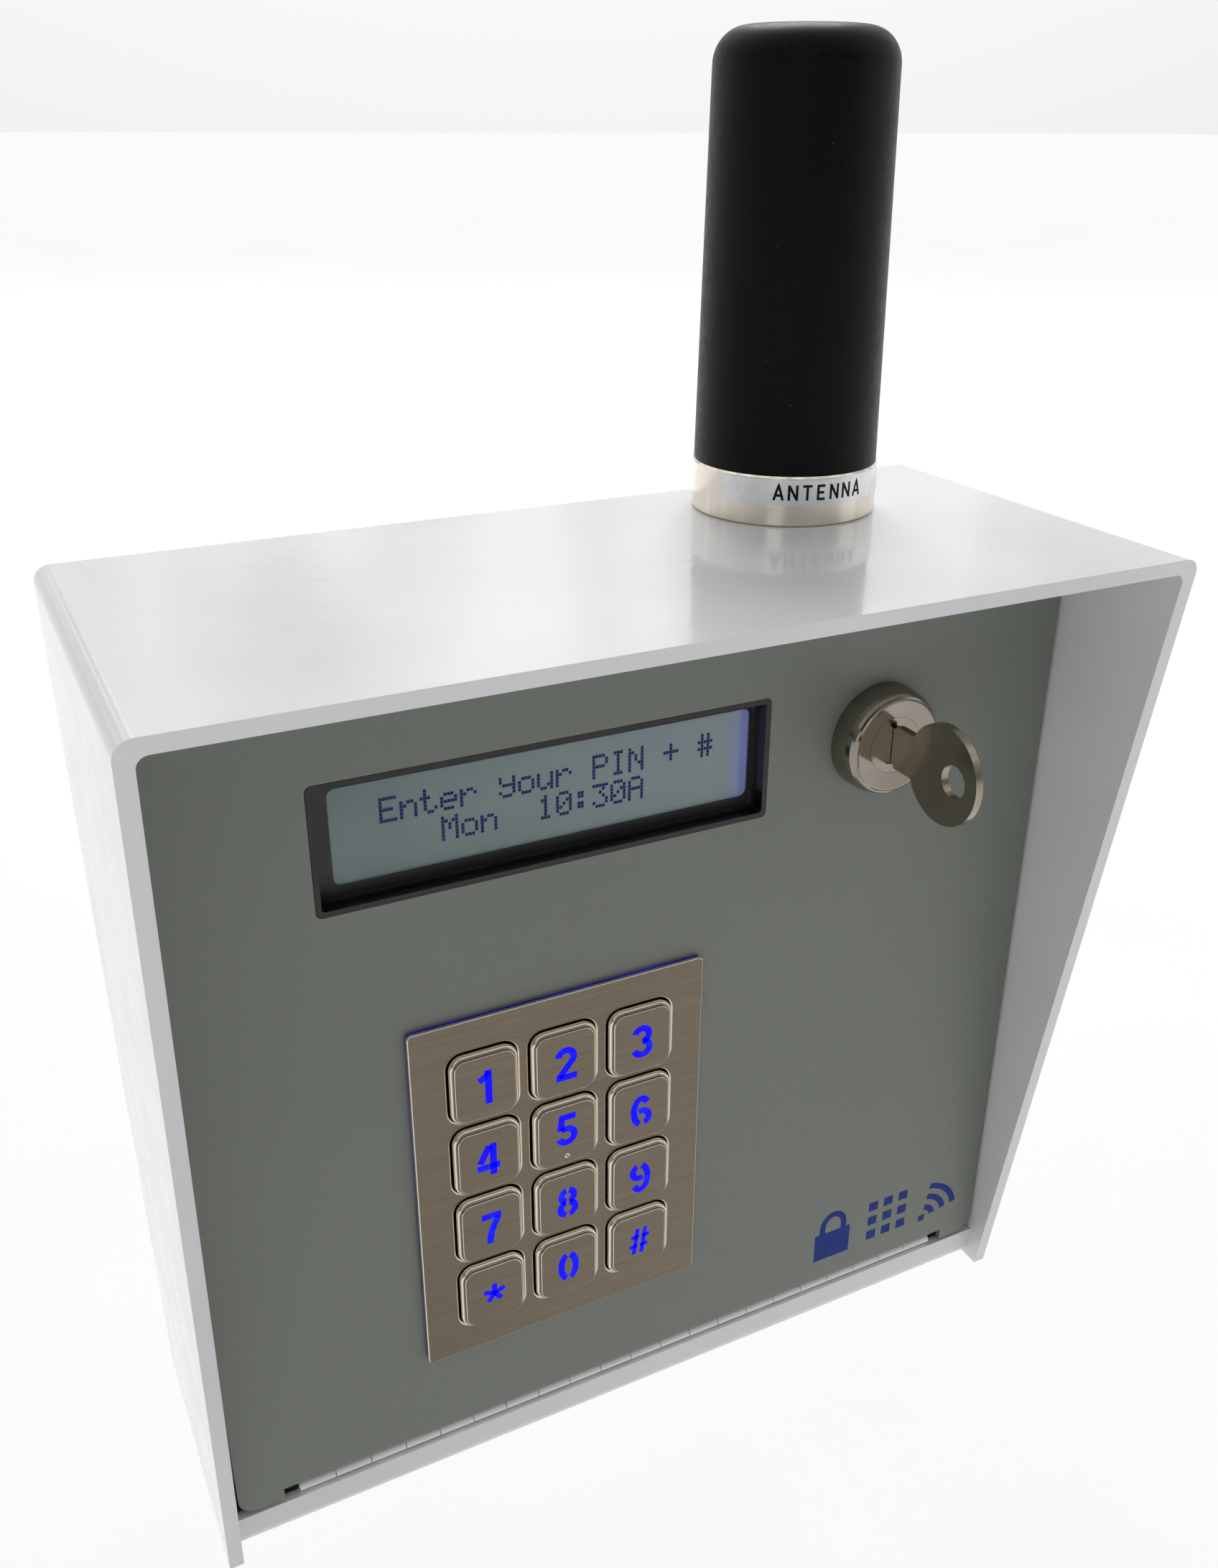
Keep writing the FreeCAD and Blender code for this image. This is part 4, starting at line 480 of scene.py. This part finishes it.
# ---------------------------------------------------------------- flat pieces
def add_mesh(name, vertices, faces, material, body):
    """New piece that rides on a body."""
    mesh = bpy.data.meshes.new(name)
    mesh.from_pydata(vertices, [], faces)
    mesh.validate()
    mesh.update()
    piece = bpy.data.objects.new(name, mesh)
    piece.data.materials.append(material)
    bpy.context.scene.collection.objects.link(piece)
    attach(piece, body)
    return piece


def arc(cx, cz, rx, rz, start, end, steps=18):
    """Points along an elliptical arc, angles in degrees."""
    points = []
    for index in range(steps + 1):
        angle = math.radians(start + (end - start) * index / steps)
        points.append((cx + rx * math.cos(angle), cz + rz * math.sin(angle)))
    return points


def ribbon(points, width, vertices, faces, depth):
    """Adds a flat stroke of one width along a path in XZ, with closed sides down to a depth."""
    sides = []
    for index, (x, z) in enumerate(points):
        ahead = points[min(index + 1, len(points) - 1)]
        behind = points[max(index - 1, 0)]
        first = Vector((x - behind[0], z - behind[1])) if index else None
        last = Vector((ahead[0] - x, ahead[1] - z)) if index < len(points) - 1 else None
        along = ((first or last).normalized() + (last or first).normalized()).normalized()
        lean = abs(along.dot((last or first).normalized()))
        normal = Vector((-along.y, along.x)) * (width / 2) / max(lean, 0.5)
        sides.append(((x + normal.x, z + normal.y), (x - normal.x, z - normal.y)))
    start = len(vertices)
    for left, right in sides:
        for x, z in (left, right):
            vertices.append((x, -depth, z))
            vertices.append((x, 0.0, z))
    for index in range(len(sides) - 1):
        a = start + 4 * index
        b = a + 4
        faces.append((a, b, b + 2, a + 2))
        faces.append((a + 1, a + 3, b + 3, b + 1))
        faces.append((a, a + 1, b + 1, b))
        faces.append((a + 2, b + 2, b + 3, a + 3))
    end = start + 4 * (len(sides) - 1)
    faces.append((start, start + 2, start + 3, start + 1))
    faces.append((end, end + 1, end + 3, end + 2))


# Stencil numerals as centre lines; the cap height is 1 and the strokes stay open where a bridge is.
STROKE = 0.185
GLYPHS = {
    "1": [[(0.07, 0.0), (0.07, 1.0)], [(0.10, 0.93), (-0.02, 0.80), (-0.18, 0.72)]],
    "2": [arc(0.0, 0.69, 0.215, 0.215, 172, -32) + [(-0.19, 0.12)], [(-0.27, 0.09), (0.30, 0.09)]],
    "3": [arc(-0.01, 0.70, 0.20, 0.20, 165, -85), arc(-0.01, 0.30, 0.22, 0.21, 85, -165)],
    "4": [[(0.12, 0.0), (0.12, 0.98)], [(0.02, 0.93), (-0.24, 0.42)], [(-0.32, 0.27), (0.30, 0.27)]],
    "5": [[(0.25, 0.90), (-0.13, 0.90), (-0.19, 0.50)], arc(-0.01, 0.31, 0.22, 0.22, 128, -160)],
    "6": [arc(0.0, 0.50, 0.22, 0.41, 38, 258), arc(0.02, 0.30, 0.205, 0.21, 118, -68)],
    "7": [[(-0.27, 0.90), (0.27, 0.90)], [(0.20, 0.84), (0.06, 0.58), (-0.03, 0.30), (-0.06, 0.0)]],
    "8": [arc(0.0, 0.71, 0.18, 0.195, 104, 256), arc(0.0, 0.71, 0.18, 0.195, 76, -76),
          arc(0.0, 0.29, 0.215, 0.205, 104, 256), arc(0.0, 0.29, 0.215, 0.205, 76, -76)],
    "9": [arc(0.0, 0.50, 0.22, 0.41, 218, 438), arc(-0.02, 0.70, 0.205, 0.21, 298, 112)],
    "0": [arc(0.0, 0.50, 0.215, 0.41, 104, 256, 24), arc(0.0, 0.50, 0.215, 0.41, 76, -76, 24)],
    "*": [[(0.0, 0.5), (0.34 * math.sin(math.radians(72 * k)), 0.5 + 0.34 * math.cos(math.radians(72 * k)))]
          for k in range(5)],
    "#": [[(-0.17, 0.06), (-0.05, 0.94)], [(0.07, 0.06), (0.19, 0.94)],
          [(-0.30, 0.34), (-0.06, 0.34)], [(0.02, 0.34), (0.26, 0.34)],
          [(-0.25, 0.66), (-0.01, 0.66)], [(0.07, 0.66), (0.31, 0.66)]],
}
LEGENDS = dict(zip(KEY_NAMES, "123456789*0#"))
LEGEND_HEIGHT = 7.7 * MM
LEGEND_PROUD = 0.02 * MM
SMALL_LEGENDS = {"*": 0.92}
THIN_STROKES = {"*": 0.85, "#": 0.66}
FIVE_RISE = 1.3 * MM             # the 5 sits higher, over its raised dot


def key_legends(material):
    """Blue-lit stencil numeral on the face of every key; key_1 has no raised dot, so it gives the plane."""
    face_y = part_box("key_1")[0][1]
    for node, text in LEGENDS.items():
        low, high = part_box(node)
        size = LEGEND_HEIGHT * SMALL_LEGENDS.get(text, 1.0)
        cx = (low[0] + high[0]) / 2
        cz = (low[2] + high[2]) / 2 + (FIVE_RISE if text == "5" else 0.0)
        vertices, faces = [], []
        for stroke in GLYPHS[text]:
            path = [(x * size, (z - 0.5) * size) for x, z in stroke]
            width = STROKE * size * THIN_STROKES.get(text, 1.0)
            ribbon(path, width, vertices, faces, LEGEND_PROUD)
        placed = [(cx + x, face_y + y, cz + z) for x, y, z in vertices]
        add_mesh("legend_" + node, placed, faces, material, node + "_cap")


# ---------------------------------------------------------------- display text
DOT_PITCH = (0.65 * MM, 0.70 * MM)
DOT_SIZE = (0.60 * MM, 0.64 * MM)
CHARACTER_PITCH = 3.70 * MM
ROW_PITCH = 5.95 * MM
TEXT_SHIFT = 2.0 * MM            # right of the glass's middle
DOTS = {
    "E": "11111 10000 10000 11110 10000 10000 11111",
    "n": "00000 00000 10110 11001 10001 10001 10001",
    "t": "01000 01000 11100 01000 01000 01001 00110",
    "e": "00000 00000 01110 10001 11111 10000 01110",
    "r": "00000 00000 10110 11001 10000 10000 10000",
    "y": "00000 10001 10001 01111 00001 10001 01110",
    "o": "00000 00000 01110 10001 10001 10001 01110",
    "u": "00000 00000 10001 10001 10001 10011 01101",
    "P": "11110 10001 10001 11110 10000 10000 10000",
    "I": "01110 00100 00100 00100 00100 00100 01110",
    "N": "10001 11001 10101 10101 10011 10001 10001",
    "+": "00000 00100 00100 11111 00100 00100 00000",
    "#": "01010 01010 11111 01010 11111 01010 01010",
    "M": "10001 11011 10101 10101 10001 10001 10001",
    "1": "00100 01100 00100 00100 00100 00100 01110",
    "0": "01110 10001 10011 10101 11001 10001 01110",
    "3": "11111 00010 00100 00010 00001 10001 01110",
    ":": "00000 01100 01100 00000 01100 01100 00000",
    "A": "01110 10001 10001 11111 10001 10001 10001",
}
DISPLAY_ROWS = ("Enter your PIN + #", "Mon  10:30A")
DISPLAY_COLUMNS = (1, 4)


def display_text(material):
    """Dot-matrix prompt and clock on the display face: a plain generic message."""
    low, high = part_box("lcd_glass")
    left = (low[0] + high[0]) / 2 - 10 * CHARACTER_PITCH + TEXT_SHIFT
    middle = (low[2] + high[2]) / 2
    face_y = low[1] - 0.02 * MM
    vertices, faces = [], []
    for row, (text, column) in enumerate(zip(DISPLAY_ROWS, DISPLAY_COLUMNS)):
        top = middle + ROW_PITCH * (0.95 - row)
        for index, letter in enumerate(text):
            if letter == " ":
                continue
            x0 = left + (column + index) * CHARACTER_PITCH
            for line, bits in enumerate(DOTS[letter].split()):
                for place, bit in enumerate(bits):
                    if bit == "1":
                        x = x0 + place * DOT_PITCH[0]
                        z = top - line * DOT_PITCH[1]
                        start = len(vertices)
                        vertices += [(x, face_y, z), (x + DOT_SIZE[0], face_y, z),
                                     (x + DOT_SIZE[0], face_y, z - DOT_SIZE[1]), (x, face_y, z - DOT_SIZE[1])]
                        faces.append((start + 3, start + 2, start + 1, start))
    add_mesh("display_text", vertices, faces, material, "door")


def display_ink():
    """Dull violet-blue dots with a slight mottle."""
    shader = Shader("display_ink", Roughness=0.6, Specular_IOR_Level=0.05)
    shader.colour(shader.ramp(shader.noise(160.0), [(0.35, srgb(20, 14, 92)), (0.7, srgb(34, 30, 104))]))
    return shader.material


# ---------------------------------------------------------------- printed marks
PRINT_PROUD = 0.02 * MM
PICTOGRAM_LEFT = 50.0 * MM
PICTOGRAM_Z = -72.0 * MM
PICTOGRAM_PITCH = 16.0 * MM
PICTOGRAM_STROKE = 1.6 * MM
PADLOCK_HALF = 5.0 * MM
PADLOCK_HEIGHT = 8.0 * MM
PADLOCK_DROP = 2.5 * MM
SHACKLE_RADII = (3.0 * MM, 3.6 * MM)
SHACKLE_FOOT = 1.5 * MM
SHACKLE_RISE = 3.0 * MM
GRID_PITCH = 4.4 * MM
GRID_DOT = 2.6 * MM
SIGNAL_RADII = (3.2 * MM, 6.4 * MM, 9.6 * MM)
SIGNAL_SHIFT = 5.0 * MM
SIGNAL_DROP = 5.5 * MM
SIGNAL_DOT = 1.8 * MM
LABEL_LETTERS = {
    "A": [[(-0.30, 0.0), (0.0, 1.0), (0.30, 0.0)], [(-0.18, 0.32), (0.18, 0.32)]],
    "N": [[(-0.26, 0.0), (-0.26, 1.0)], [(-0.26, 0.96), (0.26, 0.04)], [(0.26, 0.0), (0.26, 1.0)]],
    "T": [[(0.0, 0.0), (0.0, 1.0)], [(-0.32, 0.93), (0.32, 0.93)]],
    "E": [[(-0.22, 0.0), (-0.22, 1.0)], [(-0.22, 0.93), (0.26, 0.93)], [(-0.22, 0.5), (0.20, 0.5)],
          [(-0.22, 0.07), (0.26, 0.07)]],
}
LABEL_WORD = "ANTENNA"
LABEL_LETTER = 3.0 * MM
LABEL_LETTER_PITCH = 0.95
LABEL_STROKE = 0.17
LABEL_MIDDLE = -100.0            # degrees about +Z from +X
LABEL_STEPS = 6                  # points along each stroke, so it bends round the ring
LABEL_LIFT = 0.13 * MM           # ink's face outside the ring, just past the sticker


def door_pictogram(material):
    """Plain blue print low on the door: a padlock, a keypad grid and signal arcs."""
    face_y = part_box("door_panel")[0][1]
    vertices, faces = [], []
    cx, cz = PICTOGRAM_LEFT, PICTOGRAM_Z
    body_z = cz - PADLOCK_DROP
    body = [(cx - PADLOCK_HALF, body_z), (cx + PADLOCK_HALF, body_z)]
    ribbon(body, PADLOCK_HEIGHT, vertices, faces, PRINT_PROUD)
    shackle = [(cx - SHACKLE_RADII[0], cz + SHACKLE_FOOT)]
    shackle += arc(cx, cz + SHACKLE_RISE, *SHACKLE_RADII, 180, 0)
    shackle.append((cx + SHACKLE_RADII[0], cz + SHACKLE_FOOT))
    ribbon(shackle, PICTOGRAM_STROKE, vertices, faces, PRINT_PROUD)
    cx += PICTOGRAM_PITCH
    for row in (-1, 0, 1):
        for column in (-1, 0, 1):
            x, z = cx + column * GRID_PITCH, cz + row * GRID_PITCH
            ribbon([(x - GRID_DOT / 2, z), (x + GRID_DOT / 2, z)], GRID_DOT, vertices, faces, PRINT_PROUD)
    cx += PICTOGRAM_PITCH - SIGNAL_SHIFT
    cz -= SIGNAL_DROP
    for radius in SIGNAL_RADII:
        ribbon(arc(cx, cz, radius, radius, 80, 10), PICTOGRAM_STROKE, vertices, faces, PRINT_PROUD)
    dot = [(cx - SIGNAL_DOT / 2, cz), (cx + SIGNAL_DOT / 2, cz)]
    ribbon(dot, SIGNAL_DOT, vertices, faces, PRINT_PROUD)
    placed = [(x, face_y + y, z) for x, y, z in vertices]
    add_mesh("door_pictogram", placed, faces, material, "door")


def label_word(material):
    """Generic word on the base ring's sticker, wrapped round it."""
    low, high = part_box("antenna_base")
    axis_x, axis_y = (low[0] + high[0]) / 2, (low[1] + high[1]) / 2
    label_low, label_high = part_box("antenna_label")
    radius = (high[0] - low[0]) / 2 + LABEL_LIFT
    middle_z = (label_low[2] + label_high[2]) / 2
    vertices, faces = [], []
    for index, letter in enumerate(LABEL_WORD):
        shift = (index - (len(LABEL_WORD) - 1) / 2) * LABEL_LETTER_PITCH * LABEL_LETTER
        for stroke in LABEL_LETTERS[letter]:
            path = []
            for (x0, z0), (x1, z1) in zip(stroke, stroke[1:]):
                for step in range(LABEL_STEPS):
                    share = step / LABEL_STEPS
                    path.append((x0 + (x1 - x0) * share, z0 + (z1 - z0) * share))
            path.append(stroke[-1])
            flat = [(shift + x * LABEL_LETTER, (z - 0.5) * LABEL_LETTER) for x, z in path]
            ribbon(flat, LABEL_STROKE * LABEL_LETTER, vertices, faces, PRINT_PROUD)
    placed = []
    for x, y, z in vertices:
        angle = math.radians(LABEL_MIDDLE) + x / radius
        reach = radius - y - PRINT_PROUD
        placed.append((axis_x + reach * math.cos(angle), axis_y + reach * math.sin(angle), middle_z + z))
    add_mesh("label_word", placed, faces, material, "housing")


def print_ink(name, colour):
    """Screen-print ink with a slightly uneven tone."""
    shader = Shader(name, Roughness=0.5, Specular_IOR_Level=0.2)
    dark = tuple(channel * 0.8 for channel in colour[:3])
    shader.colour(shader.ramp(shader.noise(300.0, 3.0), [(0.3, dark), (0.7, colour)]))
    shader.bump(shader.noise(1500.0, 2.0), 0.08, 0.00003)
    return shader.material


# ---------------------------------------------------------------- small parts on the boards
CHIP_KINDS = (("resistors", (2.0, 1.2, 0.6), 46, srgb(24, 24, 26)),
              ("ceramic_capacitors", (1.6, 1.0, 0.9), 40, srgb(150, 112, 74)),
              ("solder_pads", (0.9, 0.9, 0.15), 60, srgb(190, 190, 185)))
SCATTER_SEED = 7
SCATTER_MARGIN = 9 * MM
SCATTER_GAP = 2 * MM


def box_mesh(centre, size, vertices, faces):
    """Adds one box."""
    start = len(vertices)
    for x in (-1, 1):
        for y in (-1, 1):
            for z in (-1, 1):
                vertices.append(tuple(c + s * d / 2 for c, s, d in zip(centre, (x, y, z), size)))
    for face in ((0, 1, 3, 2), (4, 6, 7, 5), (0, 4, 5, 1), (2, 3, 7, 6), (0, 2, 6, 4), (1, 5, 7, 3)):
        faces.append(tuple(start + corner for corner in face))


def board_parts():
    """Scatters small surface-mount parts over the free places of the main board."""
    low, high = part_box("main_board")
    taken = [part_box(node) for node in ("modem_module", "processor_chip", "gate_relays", "terminal_blocks",
                                       "supply_capacitors")]
    places = random.Random(SCATTER_SEED)
    for name, (width, height, depth), count, colour in CHIP_KINDS:
        vertices, faces = [], []
        while count:
            x = places.uniform(low[0] + SCATTER_MARGIN, high[0] - SCATTER_MARGIN)
            z = places.uniform(low[2] + SCATTER_MARGIN, high[2] - SCATTER_MARGIN)
            if any(a[0] - SCATTER_GAP < x < b[0] + SCATTER_GAP and
                   a[2] - SCATTER_GAP < z < b[2] + SCATTER_GAP for a, b in taken):
                continue
            size = (width, depth, height) if count % 2 else (height, depth, width)
            size = tuple(length * MM for length in size)
            box_mesh((x, low[1] - size[1] / 2, z), size, vertices, faces)
            count -= 1
        if name == "solder_pads":
            material = plated_metal(name, colour, 0.3)
        else:
            material = moulded_plastic(name, colour, 0.4, 0.05)
        add_mesh(name, vertices, faces, material, "housing")


# ---------------------------------------------------------------- build
# Bevel widths in mm.
SOFT_EDGES = {"hood_shell": 0.45, "rear_pan": 0.35, "door_panel": 0.2, "window_frame": 0.15, "door_key": 0.22,
              "lock_plug": 0.12, "gate_relays": 0.4, "terminal_blocks": 0.2, "processor_chip": 0.15,
              "modem_module": 0.2, "strike_bracket": 0.3, "keypad_key_guide": 0.1, "lock_cam": 0.2,
              "board_standoffs": 0.15, "antenna_nut": 0.3, "lock_nut": 0.3}
make_camera()
dress_nodes()
make_stage()
key_legends(glowing("legend_glow", srgb(12, 0, 255), srgb(10, 40, 255), 0.62, 330.0))
display_text(display_ink())
door_pictogram(print_ink("print_blue", srgb(0, 44, 140)))
label_word(print_ink("print_black", srgb(22, 22, 24)))
board_parts()
for node, width in SOFT_EDGES.items():
    soften(node, width * MM)
